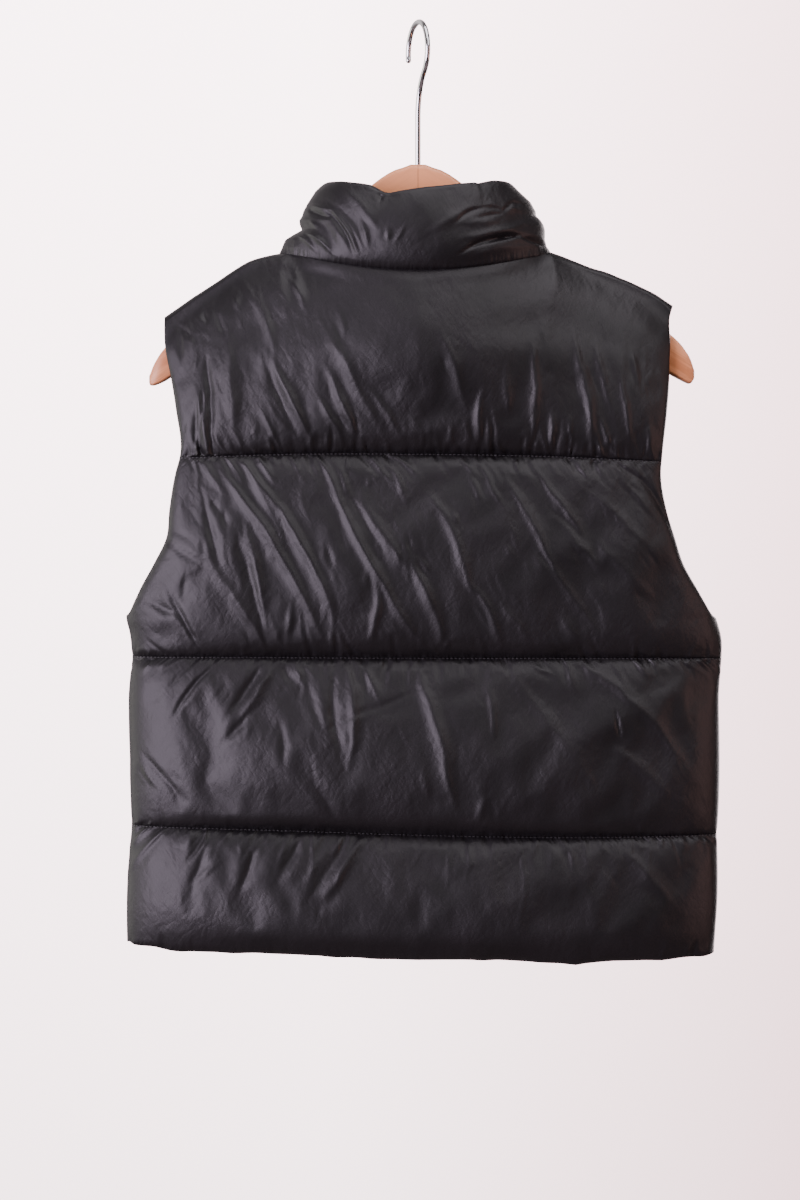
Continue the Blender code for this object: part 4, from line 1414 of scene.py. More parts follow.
@dataclass(frozen=True)
class ShellNylon:
    """Glossy black nylon: a dark sheen over fine crumples, gathered seams and a tight plain weave."""

    colour: Triple = (0.007, 0.006, 0.007)
    roughness: float = 0.46
    roughness_play: float = 0.05
    tints: Pair = (0.75, 1.3)
    patches: Triple = (28, 22, 28)
    crumple: float = 0.0060
    crumple_leans: tuple[Pair, ...] = ((0.55, 2.6), (-0.5, 2.0))
    crumple_depth: float = 0.0012
    gather: float = 0.0026
    gather_length: float = 6
    gather_row: float = 14.0
    gather_depth: float = 0.0016
    below_reach: float = 0.007
    below_fan: float = 7.0
    above_reach: float = 0.005
    above_fan: float = -1.0
    thread: float = 0.0004

    def gathers(self, made: Recipe, seam: str, reach: float, fan: float) -> Socket:
        """Short folds that leave a seam and die out.

        Args:
            made: The material under construction.
            seam: The attribute with each point's distance from the seam.
            reach: How far the folds go, in metres.
            fan: How fast they lean outwards away from the middle, per metre.

        Returns:
            Their height, about 0 on average.
        """
        off = made.node("Attribute", attribute_name=seam).outputs["Fac"]
        cut = made.node("SeparateXYZ", {"Vector": made.place((1, 1, 1), cut_map=True)}).outputs
        root = made.maths("MULTIPLY", cut["X"], made.maths("MULTIPLY_ADD", off, -fan, 1.0))
        across = made.maths("DIVIDE", root, self.gather)
        along = made.maths("DIVIDE", off, self.gather_length * self.gather)
        row = made.maths("MULTIPLY", cut["Y"], self.gather_row)
        folds = made.noise(made.node("CombineXYZ", {0: across, 1: along, 2: row}).outputs["Vector"], 1)
        apart = made.maths("MULTIPLY", across, 0.45)
        ends = made.noise(made.node("CombineXYZ", {0: apart, 2: row}).outputs["Vector"], 1)
        end = made.ranged(ends, 0.3, 0.7, 0.35 * reach, 1.65 * reach)
        fade = made.ranged(off, 0.0, end, 1.0, 0.0, soft=True)
        return made.maths("MULTIPLY", made.maths("SUBTRACT", folds, 0.5), fade)

    def crumples(self, made: Recipe, where: Socket) -> Socket:
        """Fine creases that lean two ways.

        Args:
            made: The material under construction.
            where: Noise that says where they are strong and where they are faint.

        Returns:
            Their height.
        """
        creased = []
        for lean, stretch in self.crumple_leans:
            wave = made.noise(made.leaning(self.crumple, stretch * self.crumple, lean), 2)
            creased.append(made.maths("ABSOLUTE", made.maths("SUBTRACT", wave, 0.5)))
        strength = made.ranged(where, 0.42, 0.66, 0.35, 1.0)
        return made.maths("MULTIPLY", made.maths("ADD", *creased), strength)

    def material(self) -> Material:
        """The nylon.

        Returns:
            Its material.
        """
        made = Recipe("shell_nylon", self.colour, self.roughness)
        made.set(ior_level=0.45, sheen_weight=0.02, sheen_roughness=0.4, sheen_tint=(0.8, 0.72, 0.85, 1))
        patches = made.noise(made.place(self.patches, cut_map=True), 2)
        dark, light = (tuple(tint * part for part in self.colour) for tint in self.tints)
        made.link(made.ramp(patches, ((0.35, dark), (0.65, light))), "Base Color")
        rough = (self.roughness - self.roughness_play, self.roughness + self.roughness_play)
        made.link(made.spread(patches, *rough), "Roughness")
        flat, weave = made.place((1, 1, 1), cut_map=True), math.pi / 10 / self.thread
        warp, weft = (made.stripes(flat, weave, way) for way in "XY")
        below = self.gathers(made, "below_seam", self.below_reach, self.below_fan)
        above = self.gathers(made, "above_seam", self.above_reach, self.above_fan)
        made.bumps(
            (self.crumples(made, patches), self.crumple_depth, 0.5),
            (made.maths("ADD", below, above), self.gather_depth, 0.7),
            (made.maths("MULTIPLY", warp, weft), 0.00003, 0.25),
        )
        return made.material


@dataclass(frozen=True)
class Thread:
    """Black polyester thread with a twist."""

    colour: Triple = (0.02, 0.019, 0.02)

    def material(self) -> Material:
        """The thread.

        Returns:
            Its material.
        """
        made = Recipe("thread", self.colour, 0.5)
        made.set(sheen_weight=0.3)
        made.bumps((made.stripes(made.place((1, 1, 1), (0, 0.6, 0)), 900.0), 0.00008, 0.5))
        return made.material


@dataclass(frozen=True)
class ZipTape:
    """Matt black herringbone tape."""

    colour: Triple = (0.016, 0.016, 0.017)

    def material(self) -> Material:
        """The tape.

        Returns:
            Its material.
        """
        made = Recipe("zip_tape", self.colour, 0.85)
        made.set(sheen_weight=0.25, sheen_roughness=0.6)
        ribs = made.stripes(made.place((1, 1, 1), (0, 0, 0.7), True), 420.0)
        fuzz = made.noise(made.place((1800, 1800, 1800)), 2)
        made.bumps((ribs, 0.00012, 0.6), (fuzz, 0.00006, 0.4))
        return made.material


@dataclass(frozen=True)
class ToothPlastic:
    """Moulded black teeth, a little polished by the slider."""

    colour: Triple = (0.014, 0.014, 0.015)

    def material(self) -> Material:
        """The teeth's plastic.

        Returns:
            Its material.
        """
        made = Recipe("zip_teeth", self.colour, 0.35)
        made.link(made.spread(made.noise(made.place((260, 260, 260)), 2), 0.25, 0.45), "Roughness")
        made.bumps((made.noise(made.place((2500, 2500, 2500)), 1), 0.00003, 0.3))
        return made.material


@dataclass(frozen=True)
class SliderEnamel:
    """Black enamel on cast zinc, rubbed to grey along its edges."""

    colour: Triple = (0.016, 0.016, 0.018)
    zinc: Triple = (0.30, 0.30, 0.31)

    def material(self) -> Material:
        """The enamel.

        Returns:
            Its material.
        """
        made = Recipe("zip_metal", self.colour, 0.3)
        made.set(coat_weight=0.4, coat_roughness=0.15)
        rubbed = made.ranged(made.node("NewGeometry").outputs["Pointiness"], 0.54, 0.62)
        scratches = made.noise(made.place((700, 700, 300)), 3)
        wear = made.maths("MULTIPLY", rubbed, scratches)
        made.link(made.ramp(wear, ((0.2, self.colour), (0.8, self.zinc))), "Base Color")
        made.link(made.spread(scratches, 0.22, 0.4), "Roughness")
        made.bumps((scratches, 0.00003, 0.3))
        return made.material


@dataclass(frozen=True)
class HangerWood:
    """Clear-varnished beech whose grain follows each arm and meets at a join in the middle."""

    pale: Triple = (0.90, 0.37, 0.165)
    dark: Triple = (0.72, 0.265, 0.105)
    light_tint: float = 1.08
    glue_tint: float = 0.8
    slope: float = 0.62
    ring_share: float = 0.62
    pore_share: float = 0.22
    mottle_share: float = 0.16
    join_half_width: float = 0.00025

    def material(self) -> Material:
        """The wood.

        Returns:
            Its material.
        """
        made = Recipe("hanger_wood", self.pale, 0.42)
        made.set(coat_weight=0.25, coat_roughness=0.25)
        at = made.node("SeparateXYZ", {"Vector": made.node("TexCoord").outputs["Object"]}).outputs
        out = made.maths("ABSOLUTE", at["X"])
        down = made.maths("MULTIPLY_ADD", out, self.slope, at["Z"])
        grain = made.node("CombineXYZ", {"X": out, "Y": at["Y"], "Z": down}).outputs["Vector"]
        rings, pores, mottle = (
            made.noise(made.node("Mapping", {"Vector": grain, "Scale": scale}).outputs["Vector"], 2)
            for scale in ((9, 60, 90), (90, 900, 1300), (30, 40, 40))
        )
        mixed = 0.0
        for layer, share in ((rings, self.ring_share), (pores, self.pore_share), (mottle, self.mottle_share)):
            mixed = made.maths("MULTIPLY_ADD", layer, share, mixed)
        light = tuple(self.light_tint * part for part in self.pale)
        wood = made.ramp(mixed, ((0.40, self.dark), (0.50, self.pale), (0.62, light)))
        join = made.maths("LESS_THAN", out, self.join_half_width)
        glue = (*(self.glue_tint * part for part in self.dark), 1)
        shade = made.node("Mix", {0: join, 6: wood, 7: glue}, data_type="RGBA")
        made.link(shade.outputs[2], "Base Color")
        made.link(made.spread(pores, 0.34, 0.5), "Roughness")
        made.bumps((pores, 0.00008, 0.35), (rings, 0.00012, 0.15))
        return made.material


@dataclass(frozen=True)
class HookSteel:
    """Polished plated wire with fine drawing marks."""

    colour: Triple = (0.78, 0.78, 0.79)

    def material(self) -> Material:
        """The steel.

        Returns:
            Its material.
        """
        made = Recipe("hook_steel", self.colour, 0.14)
        made.set(metallic=1.0)
        marks = made.noise(made.place((900, 900, 60)), 2)
        made.link(made.spread(marks, 0.08, 0.2), "Roughness")
        made.bumps((marks, 0.00002, 0.2))
        return made.material


# --- Hard pieces ----------------------------------------------------------------------------------


class Bench:
    """One hard piece being modelled with Blender's own tools."""

    def __init__(self, name: str, piece: Piece | None = None) -> None:
        """Clears the selection for a new piece, or takes an existing one.

        Args:
            name: The piece's name.
            piece: The existing piece.
        """
        self.name = name
        bpy.ops.object.select_all(action="DESELECT")
        if piece:
            piece.select_set(True)
            bpy.context.view_layer.objects.active = piece

    @property
    def piece(self) -> Piece:
        """The piece as it stands."""
        return bpy.context.view_layer.objects.active

    def start(self) -> "Bench":
        """Names the new primitive and puts its place into its mesh.

        Returns:
            The bench.
        """
        self.piece.name = self.piece.data.name = self.name
        bpy.ops.object.transform_apply(location=True, rotation=True, scale=True)
        return self

    def block(self, size: Triple, centre: Triple) -> "Bench":
        """Starts from a block."""
        bpy.ops.mesh.primitive_cube_add(size=1, location=centre, scale=size)
        return self.start()

    def pick(self, kind: str, test: Callable[..., bool]) -> None:
        """Goes into edit mode with only some faces or edges selected.

        Args:
            kind: "FACE" or "EDGE".
            test: Takes a face's centre and normal, or an edge's two ends, and says whether it is picked.
        """
        bpy.ops.object.mode_set(mode="EDIT")
        bpy.ops.mesh.select_mode(type=kind)
        bpy.ops.mesh.select_all(action="DESELECT")
        bpy.ops.object.mode_set(mode="OBJECT")
        mesh = self.piece.data
        if kind == "FACE":
            for face in mesh.polygons:
                face.select = test(face.center, face.normal)
        else:
            for edge in mesh.edges:
                edge.select = test(*(mesh.vertices[end].co for end in edge.vertices))
        bpy.ops.object.mode_set(mode="EDIT")

    def done(self) -> None:
        """Leaves edit mode."""
        bpy.ops.object.mode_set(mode="OBJECT")

    def face_towards(self, way: Vector) -> None:
        """Picks the faces that look one way."""
        self.pick("FACE", lambda centre, normal: normal.dot(way) > 0.9)

    def outermost(self, way: Vector) -> None:
        """Picks the faces that look one way and are farthest along it."""
        reach = self.reach(way)
        self.pick("FACE", lambda centre, normal: normal.dot(way) > 0.9 and centre.dot(way) > reach)

    def reach(self, way: Vector) -> float:
        """How far the piece goes one way, less a hair."""
        return max(vertex.co.dot(way) for vertex in self.piece.data.vertices) - HAIR

    def grow(self, way: Vector, length: float, scale: Triple = (1, 1, 1), shift: float = 0) -> None:
        """Extrudes the outermost faces that look one way, then scales and shifts them.

        Args:
            way: Which way they look and go.
            length: How far they go.
            scale: How they are scaled.
            shift: How far they are then moved up.
        """
        self.outermost(way)
        bpy.ops.mesh.extrude_region_move(TRANSFORM_OT_translate={"value": way * length})
        bpy.ops.transform.resize(value=scale)
        bpy.ops.transform.translate(value=(0, 0, shift))
        self.done()

    def taper(self, way: Vector, share: float) -> None:
        """Narrows the faces that look one way.

        Args:
            way: Which way they look.
            share: The share of their width that is left.
        """
        self.face_towards(way)
        bpy.ops.transform.resize(value=(share, 1, 1))
        self.done()

    def sink(self, way: Vector, border: float, wall: float, depth: float) -> None:
        """Sinks a panel into the faces that look one way.

        Args:
            way: Which way they look.
            border: The width of the rim that stays.
            wall: The width of the sloping wall inside it.
            depth: How deep the panel lies.
        """
        self.face_towards(way)
        bpy.ops.mesh.inset(thickness=border, depth=0)
        bpy.ops.mesh.inset(thickness=wall, depth=-depth)
        self.done()

    def close(self, threshold: float = 0) -> None:
        """Turns all faces outwards.

        Args:
            threshold: Points this close are merged first.
        """
        self.pick("FACE", lambda centre, normal: True)
        if threshold:
            bpy.ops.mesh.remove_doubles(threshold=threshold)
        bpy.ops.mesh.normals_make_consistent(inside=False)
        self.done()

    def soften(self, width: float, segments: int = 2) -> None:
        """Rounds the sharp edges and shades the piece smooth.

        Args:
            width: The width of the rounding.
            segments: How many facets it has.
        """
        bevel = self.piece.modifiers.new("soft_edges", "BEVEL")
        bevel.width = width
        bevel.segments = segments
        bevel.limit_method = "ANGLE"
        bevel.angle_limit = math.radians(30)
        bpy.ops.object.modifier_apply(modifier=bevel.name)
        bpy.ops.object.shade_smooth_by_angle(angle=math.radians(35))

    def joined(self, others: list[Piece]) -> Piece:
        """Joins others to this piece.

        Args:
            others: The other pieces.

        Returns:
            The piece under the bench's name.
        """
        for part in others:
            part.select_set(True)
        bpy.ops.object.join()
        self.piece.name = self.piece.data.name = self.name
        return self.piece


def wire(name: str, points: list[Vector], radius: float, round_end: bool = False) -> Piece:
    """A round wire along points.

    Args:
        name: The piece's name.
        points: Its centre line.
        radius: The wire's radius.
        round_end: Whether its last end is rounded.

    Returns:
        The wire as a closed mesh.
    """
    line, scales = list(points), [1.0] * len(points)
    if round_end:
        way = (line[-1] - line[-2]).normalized() * radius
        turns = [math.radians(angle) for angle in (18, 36, 54, 72, 88)]
        line += [points[-1] + way * math.sin(turn) for turn in turns]
        scales += [math.cos(turn) for turn in turns]
    curve = bpy.data.curves.new(name, "CURVE")
    curve.dimensions = "3D"
    curve.bevel_depth = radius
    curve.bevel_resolution = 4
    curve.use_fill_caps = True
    spline = curve.splines.new("POLY")
    spline.points.add(len(line) - 1)
    for spot, place, scale in zip(spline.points, line, scales):
        spot.co = (*place, 1)
        spot.radius = scale
    made = bpy.data.objects.new(name, curve)
    bpy.context.scene.collection.objects.link(made)
    bench = Bench(name, made)
    bpy.ops.object.convert(target="MESH")
    bench.close(1e-6)
    bpy.ops.object.shade_smooth_by_angle(angle=PIECE_SHARP)
    return bench.piece


def copies(name: str, pattern: Piece, frames: Points) -> Piece:
    """One mesh with a copy of a small pattern at each place.

    Args:
        name: The new piece's name.
        pattern: The shape, modelled once. It is removed.
        frames: For each copy, three axes and a place, as rows of a 4 x 3 table.

    Returns:
        The new piece.
    """
    points = np.array([vertex.co for vertex in pattern.data.vertices])
    faces = [tuple(face.vertices) for face in pattern.data.polygons]
    placed = np.einsum("vi,nij->nvj", points, frames[:, :3]) + frames[:, None, 3]
    starts = range(0, len(points) * len(frames), len(points))
    every = [tuple(corner + start for corner in face) for start in starts for face in faces]
    made = new_object(name, placed, every)
    made.data.shade_smooth()
    made.data.set_sharp_from_angle(angle=PIECE_SHARP)
    bpy.data.objects.remove(pattern)
    return made


@dataclass
class Stitching:
    """Lock stitches lying in the quilting lines."""

    pitch: float = 0.0026
    length: float = 0.0019
    radius: float = 0.00026
    ends: tuple[Triple, ...] = ((0.2, 0.9, 0.4), (0.1, 0.55, 0.9))
    lift: float = 0.35

    def stitch(self) -> Piece:
        """One stitch along X: a short round thread whose ends dip into the cloth.

        Returns:
            The stitch.
        """
        bench = Bench("stitch")
        bpy.ops.mesh.primitive_cylinder_add(
            vertices=6, radius=self.radius, depth=self.length * 0.4, rotation=(0, math.pi / 2, 0)
        )
        bench.start()
        for way in (Vector((1, 0, 0)), Vector((-1, 0, 0))):
            for share, slim, dip in self.ends:
                bench.grow(way, self.length * share, (1, slim, slim), -dip * self.radius)
        return bench.piece

    def row(self, path: Points, facing: Points) -> Points:
        """The frames of the stitches along a line.

        Args:
            path: Points along the line.
            facing: Which way the cloth faces at each point.

        Returns:
            Three axes and a place for each stitch.
        """
        steps = np.linalg.norm(np.diff(path, axis=0), axis=1)
        run = np.concatenate([[0], np.cumsum(steps)])
        at = np.arange(self.pitch, run[-1] - self.pitch, self.pitch)

        def read(where: Points, values: Points) -> Points:
            """Values read along the line."""
            return np.stack([np.interp(where, run, values[:, axis]) for axis in range(3)], axis=-1)

        places = read(at, path)
        along = unit(read(at + self.pitch / 2, path) - read(at - self.pitch / 2, path))
        up = read(at, facing)
        up = unit(up - along * np.sum(up * along, axis=-1, keepdims=True))
        side = np.cross(up, along)
        return np.stack([along, side, up, places + up * self.lift * self.radius], axis=1)


@dataclass
class ZipFastener:
    """The closed front zip: two tapes, moulded teeth, a slider and its pull tab.

    It follows the collar's right front quarter and the right front.
    """

    collar: ClothGrid
    front: ClothGrid
    tape_inner_x: float = 0.0031
    tape_outer_x: float = 0.013
    tape_columns: int = 9
    tape_back: float = 0.0015
    tape_front: float = 0.0005
    tape_top_z: float = -0.143
    tape_first_row: float = 0.0003
    chain_half_width: float = 0.0028
    chain_back: float = 0.0013
    chain_front: float = 0.0011
    chain_top_z: float = -0.1478
    tooth_pitch: float = 0.0031
    tooth_height: float = 0.0014
    tooth_root: float = 0.0011
    tooth_steps: tuple[Triple, ...] = (
        (0.0007, 0.86, 0.62), (0.0006, 1, 1), (0.0004, 1, 1.75), (0.0006, 1, 0.9), (0.0003, 0.7, 0.6),
    )
    tooth_soft: float = 0.00016
    box_size: Triple = (0.0086, 0.0032, 0.0068)
    box_panel: Triple = (0.0009, 0.0003, 0.0003)
    box_soft: float = 0.0005
    slider_top_z: float = -0.1442
    slider_length: float = 0.012
    slider_width: float = 0.0086
    slider_plate: float = 0.0012
    slider_clearance: float = 0.0003
    slider_foot: float = 0.78
    slider_corner: float = 0.0016
    slider_panel: Triple = (0.0007, 0.0003, 0.00025)
    slider_soft: float = 0.00022
    flange_size: Triple = (0.0007, 0.0005, 0.0066)
    flange_x: float = 0.003398
    flange_drop: float = 0.0016
    flange_soft: float = 0.00015
    post_width: float = 0.005
    post_length: float = 0.003
    post_foot: float = 0.35
    post_soft: float = 0.0002
    bail_radius: float = 0.0006
    bail_half_length: float = 0.0030
    bail_rise: float = 0.0036
    tab_out: float = 0.0015
    tab_down: float = 0.0009
    tab_width: float = 0.0048
    tab_length: float = 0.024
    tab_thickness: float = 0.0012
    tab_waist: tuple[Pair, ...] = ((0.86, 0.0012), (0.80, 0.0035), (1, 0.0065))
    tab_corner: float = 0.0018
    tab_soft: float = 0.00025
    eye_width: float = 0.0022
    eye_start: float = 0.0006
    eye_length: float = 0.004
    ribs: int = 5
    rib_start: float = 0.0034
    rib_pitch: float = 0.0013
    rib_share: float = 0.66
    rib_height: float = 0.0005
    rib_soft: float = 0.0002
    form: BodyForm = FORM

    @property
    def slider_front_y(self) -> float:
        """The front of the slider's upper plate."""
        raised = self.chain_front + self.slider_clearance + self.slider_plate
        return self.form.neck_half_depth + raised

    @property
    def slider_middle_z(self) -> float:
        """The middle of the slider's height."""
        return self.slider_top_z - self.slider_length / 2

    def face(self, x: float) -> Points:
        """The inner face from the collar's top to the hem.

        Args:
            x: How far from the middle it is read.

        Returns:
            Its points.
        """
        rows = [*self.collar.inner, *self.front.inner[1:]]
        y, z = ([np.interp(abs(x), abs(row[:, 0]), row[:, axis]) for row in rows] for axis in (1, 2))
        return np.stack([np.full(len(rows), x), y, z], axis=-1)

    def tape(self, side: Side) -> Piece:
        """One tape, a closed strip with its own map in metres.

        Args:
            side: The wearer's side.

        Returns:
            The tape.
        """
        ends = sorted((side.value * self.tape_inner_x, side.value * self.tape_outer_x))
        lines = []
        for x in np.linspace(*ends, self.tape_columns):
            path = self.face(x)
            top = (x, np.interp(-self.tape_top_z, -path[:, 2], path[:, 1]), self.tape_top_z)
            lines.append(np.array([top, *path[path[:, 2] < self.tape_top_z - self.tape_first_row]]))
        count = min(len(line) for line in lines) - 1
        middle = np.stack([np.concatenate([line[:1], line[-count:]]) for line in lines], axis=1)
        direction = np.zeros_like(middle)
        direction[..., 1] = 1
        back, before = middle - (0, self.tape_back, 0), middle - (0, self.tape_front, 0)
        return cloth_shell(f"zip_tape_{side.name.lower()}_cloth", back, before, direction)

    def tooth(self) -> Piece:
        """One tooth of the right-hand row: a clamp on the tape, a neck and a rounded head.

        Returns:
            The tooth.
        """
        size = (self.tooth_root, self.chain_back + self.chain_front, self.tooth_height)
        middle_y = (self.chain_front - self.chain_back) / 2
        bench = Bench("zip_tooth").block(size, (self.chain_half_width - self.tooth_root / 2, middle_y, 0))
        for length, thinner, taller in self.tooth_steps:
            bench.grow(Vector((-1, 0, 0)), length, (1, thinner, taller))
        bench.soften(self.tooth_soft, 1)
        return bench.piece

    def teeth(self) -> Piece:
        """Both rows of teeth, each in the gaps of the other.

        Returns:
            The teeth as one piece.
        """
        path = self.face(self.form.centre_edge)
        bottom = path[:, 2].min() + self.box_size[2] + self.tooth_height / 2
        frames = []
        for side, start in ((Side.RIGHT, 0.5), (Side.LEFT, 1.0)):
            at = np.arange(self.chain_top_z - start * self.tooth_pitch, bottom, -self.tooth_pitch)
            y, ahead = (np.interp(-z, -path[:, 2], path[:, 1]) for z in (at, at - self.tooth_height))
            level = np.zeros_like(at)
            down = unit(np.stack([level, ahead - y, np.full_like(at, -self.tooth_height)], -1))
            out = np.tile((side.value, 0.0, 0.0), (len(at), 1))
            forward = np.stack([level, -down[:, 2], down[:, 1]], axis=-1)
            frames.append(np.stack([out, forward, -down, np.stack([level, y, at], axis=-1)], axis=1))
        made = copies("zip_teeth_rows", self.tooth(), np.concatenate(frames))
        Bench(made.name, made).close()
        return made

    def box(self) -> Piece:
        """The box at the hem that holds the closed zip's pin.

        Returns:
            The box.
        """
        _, y, z = self.face(self.form.centre_edge)[-1]
        bench = Bench("zip_bottom_box").block(self.box_size, (0, y, z + self.box_size[2] / 2))
        bench.sink(Vector((0, 1, 0)), *self.box_panel)
        bench.soften(self.box_soft)
        return bench.piece

    def plate(self, name: str, y: float, way: int) -> Piece:
        """One of the slider's two plates, with rounded corners and a sunk panel.

        Args:
            name: Its name.
            y: The place of its outer face.
            way: Which way along Y that face looks.

        Returns:
            The plate.
        """
        size = (self.slider_width, self.slider_plate, self.slider_length)
        bench = Bench(name).block(size, (0, y - way * self.slider_plate / 2, self.slider_middle_z))
        bench.taper(DOWN, self.slider_foot)
        bench.pick("EDGE", lambda a, b: abs(a.x - b.x) < HAIR and abs(a.z - b.z) < HAIR)
        bpy.ops.mesh.bevel(offset=self.slider_corner, segments=4, affect="EDGES")
        bench.done()
        bench.sink(Vector((0, way, 0)), *self.slider_panel)
        bench.soften(self.slider_soft)
        return bench.piece

    def post(self, front_y: float, back_y: float) -> Piece:
        """The slider's post, which parts the teeth between its plates.

        Args:
            front_y: The front plate's outer face.
            back_y: The back plate's outer face.

        Returns:
            The post.
        """
        size = (self.post_width, front_y - back_y - self.slider_plate, self.post_length)
        place = (0, (front_y + back_y) / 2, self.slider_top_z - self.post_length / 2)
        bench = Bench("slider_post").block(size, place)
        bench.taper(DOWN, self.post_foot)
        bench.soften(self.post_soft)
        return bench.piece

    def slider(self) -> Piece:
        """The slider: two plates with turned-in flanges, a post between them and a bail.

        Returns:
            The slider as one piece.
        """
        front_y, middle_z = self.slider_front_y, self.slider_middle_z
        back_y = self.form.neck_half_depth - self.tape_back - self.slider_clearance - self.slider_plate
        parts = [self.plate("slider_front_plate", front_y, 1), self.plate("slider_back_plate", back_y, -1)]
        parts.append(self.post(front_y, back_y))
        for side in Side:
            for y in (front_y - self.slider_plate, back_y + self.slider_plate):
                place = (side.value * self.flange_x, y, middle_z - self.flange_drop)
                flange = Bench("slider_flange").block(self.flange_size, place)
                flange.soften(self.flange_soft, 1)
                parts.append(flange.piece)
        rise, reach = self.bail_rise, self.bail_half_length
        turns = np.linspace(0, math.pi, 25)
        arch = [Vector((0, front_y + rise * math.sin(t), middle_z + reach * math.cos(t))) for t in turns]
        sunk = Vector((0, self.slider_plate / 2, 0))
        bail = wire("slider_bail", [arch[0] - sunk, *arch, arch[-1] - sunk], self.bail_radius)
        return Bench("zip_slider_body", parts[0]).joined([*parts[1:], bail])

    def tab_outline(self, top_z: float, waist_z: float, bottom_z: float) -> list[Pair]:
        """The pull tab's outline.

        Args:
            top_z: Its top.
            waist_z: The lower end of its eye, from which the waist is measured.
            bottom_z: Its bottom.

        Returns:
            X and Z of each corner in order.
        """
        outer, corner = self.tab_width / 2, self.tab_corner
        half = [(outer * share, waist_z - drop) for share, drop in self.tab_waist]
        for turn in np.linspace(0, math.pi / 2, 6):
            half.append((outer - corner * (1 - math.cos(turn)), bottom_z + corner * (1 - math.sin(turn))))
        return [(-outer, top_z), (outer, top_z), *half, *((-x, z) for x, z in half[::-1])]

    def pull_tab(self) -> Piece:
        """The pull tab at rest: a flat plate with an eye, a waist and a ribbed grip.

        Returns:
            The pull tab as one piece.
        """
        axis_y, axis_z = self.slider_front_y + self.tab_out, self.slider_middle_z - self.tab_down
        half, inner = self.tab_thickness / 2, self.eye_width / 2
        bottom_z, eye_top = axis_z - self.tab_length, axis_z - self.eye_start
        eye_bottom = eye_top - self.eye_length
        outline = self.tab_outline(axis_z + half, eye_bottom, bottom_z)
        eye = [(-inner, eye_top), (inner, eye_top), (inner, eye_bottom), (-inner, eye_bottom)]
        edges = [(at, (at + 1) % len(outline)) for at in range(len(outline))]
        edges += [(len(outline) + at, len(outline) + (at + 1) % len(eye)) for at in range(len(eye))]
        places = np.array([(x, axis_y - half, z) for x, z in (*outline, *eye)])
        plate = new_object("pull_tab_plate", places, [], edges)
        bench = Bench("zip_pull_tab_plate", plate)
        bpy.ops.object.mode_set(mode="EDIT")
        bpy.ops.mesh.select_mode(type="EDGE")
        bpy.ops.mesh.select_all(action="SELECT")
        bpy.ops.mesh.fill(use_beauty=True)
        bpy.ops.mesh.select_all(action="SELECT")
        bpy.ops.mesh.extrude_region_move(TRANSFORM_OT_translate={"value": (0, self.tab_thickness, 0)})
        bpy.ops.mesh.select_all(action="SELECT")
        bpy.ops.mesh.normals_make_consistent(inside=False)
        bench.done()
        bench.soften(self.tab_soft)
        ribs = []
        size = (self.tab_width * self.rib_share, self.tab_thickness + self.rib_height, self.rib_height)
        for place in range(self.ribs):
            z = bottom_z + self.rib_start + self.rib_pitch * place
            rib = Bench("pull_tab_rib").block(size, (0, axis_y, z))
            rib.soften(self.rib_soft)
            ribs.append(rib.piece)
        return Bench("zip_pull_tab_plate", plate).joined(ribs)


@dataclass
class Hook:
    """The hanger's wire hook, turned across the arms."""

    wire_radius: float = 0.00175
    bend: float = 0.017
    turn: float = math.radians(-71)
    hole_end_z: float = -0.1073
    stem_top_z: float = -0.060
    join: float = math.radians(-50)
    end: float = math.radians(190)
    handles: Pair = (0.012, 0.010)

    def build(self) -> Piece:
        """The hook: up the stem, out, and over the crown.

        Returns:
            The hook.
        """
        radius = self.bend + self.wire_radius
        angles = np.linspace(self.join, self.end, 73)
        crown = np.stack([radius * np.cos(angles), radius * np.sin(angles) - self.bend], axis=-1)
        stem = np.array([(0, self.hole_end_z), (0, self.stem_top_z)])
        leaving = np.array([-math.sin(self.join), math.cos(self.join)])
        handles = [stem[1], stem[1] + (0, self.handles[0]), crown[0] - self.handles[1] * leaving, crown[0]]
        ramp = np.linspace(0, 1, 25)[1:-1, None]
        weights = ((1 - ramp) ** 3, 3 * ramp * (1 - ramp) ** 2, 3 * ramp**2 * (1 - ramp), ramp**3)
        sweep = sum(weight * handle for weight, handle in zip(weights, handles))
        flat = np.concatenate([stem, sweep, crown])
        line = [Vector((u * math.cos(self.turn), u * math.sin(self.turn), z)) for u, z in flat]
        return wire("hanger_hook_wire", line, self.wire_radius, round_end=True)


class Arm(NamedTuple):
    """Upper and lower edge of the hanger at one distance from its middle, on both sides."""

    x: float
    left_top: float
    left_bottom: float
    right_top: float
    right_bottom: float


ARMS = rows_of(
    Arm,
    (0.000, -0.0896, -0.1320, -0.0896, -0.1320), (0.016, -0.0936, -0.1335, -0.0936, -0.1335),
    (0.029, -0.1022, -0.1368, -0.1022, -0.1368), (0.050, -0.1222, -0.1488, -0.1222, -0.1488),
    (0.070, -0.1440, -0.1622, -0.1440, -0.1622), (0.085, -0.1552, -0.1732, -0.1552, -0.1732),
    (0.105, -0.1615, -0.1856, -0.1615, -0.1850), (0.125, -0.1668, -0.1976, -0.1665, -0.1960),
    (0.140, -0.1800, -0.2100, -0.1752, -0.2060), (0.152, -0.1935, -0.2206, -0.1868, -0.2160),
    (0.160, -0.2045, -0.2268, -0.1968, -0.2228), (0.166, -0.2125, -0.2298, -0.2022, -0.2262),
    (0.1695, -0.2190, -0.2308, -0.2062, -0.2280), (0.1712, -0.2235, -0.2306, -0.2088, -0.2288),
    (0.1735, -0.2285, -0.2296, -0.2122, -0.2296), (0.1755, -0.2285, -0.2296, -0.2172, -0.2286),
    (0.1768, -0.2285, -0.2296, -0.2220, -0.2262),
)


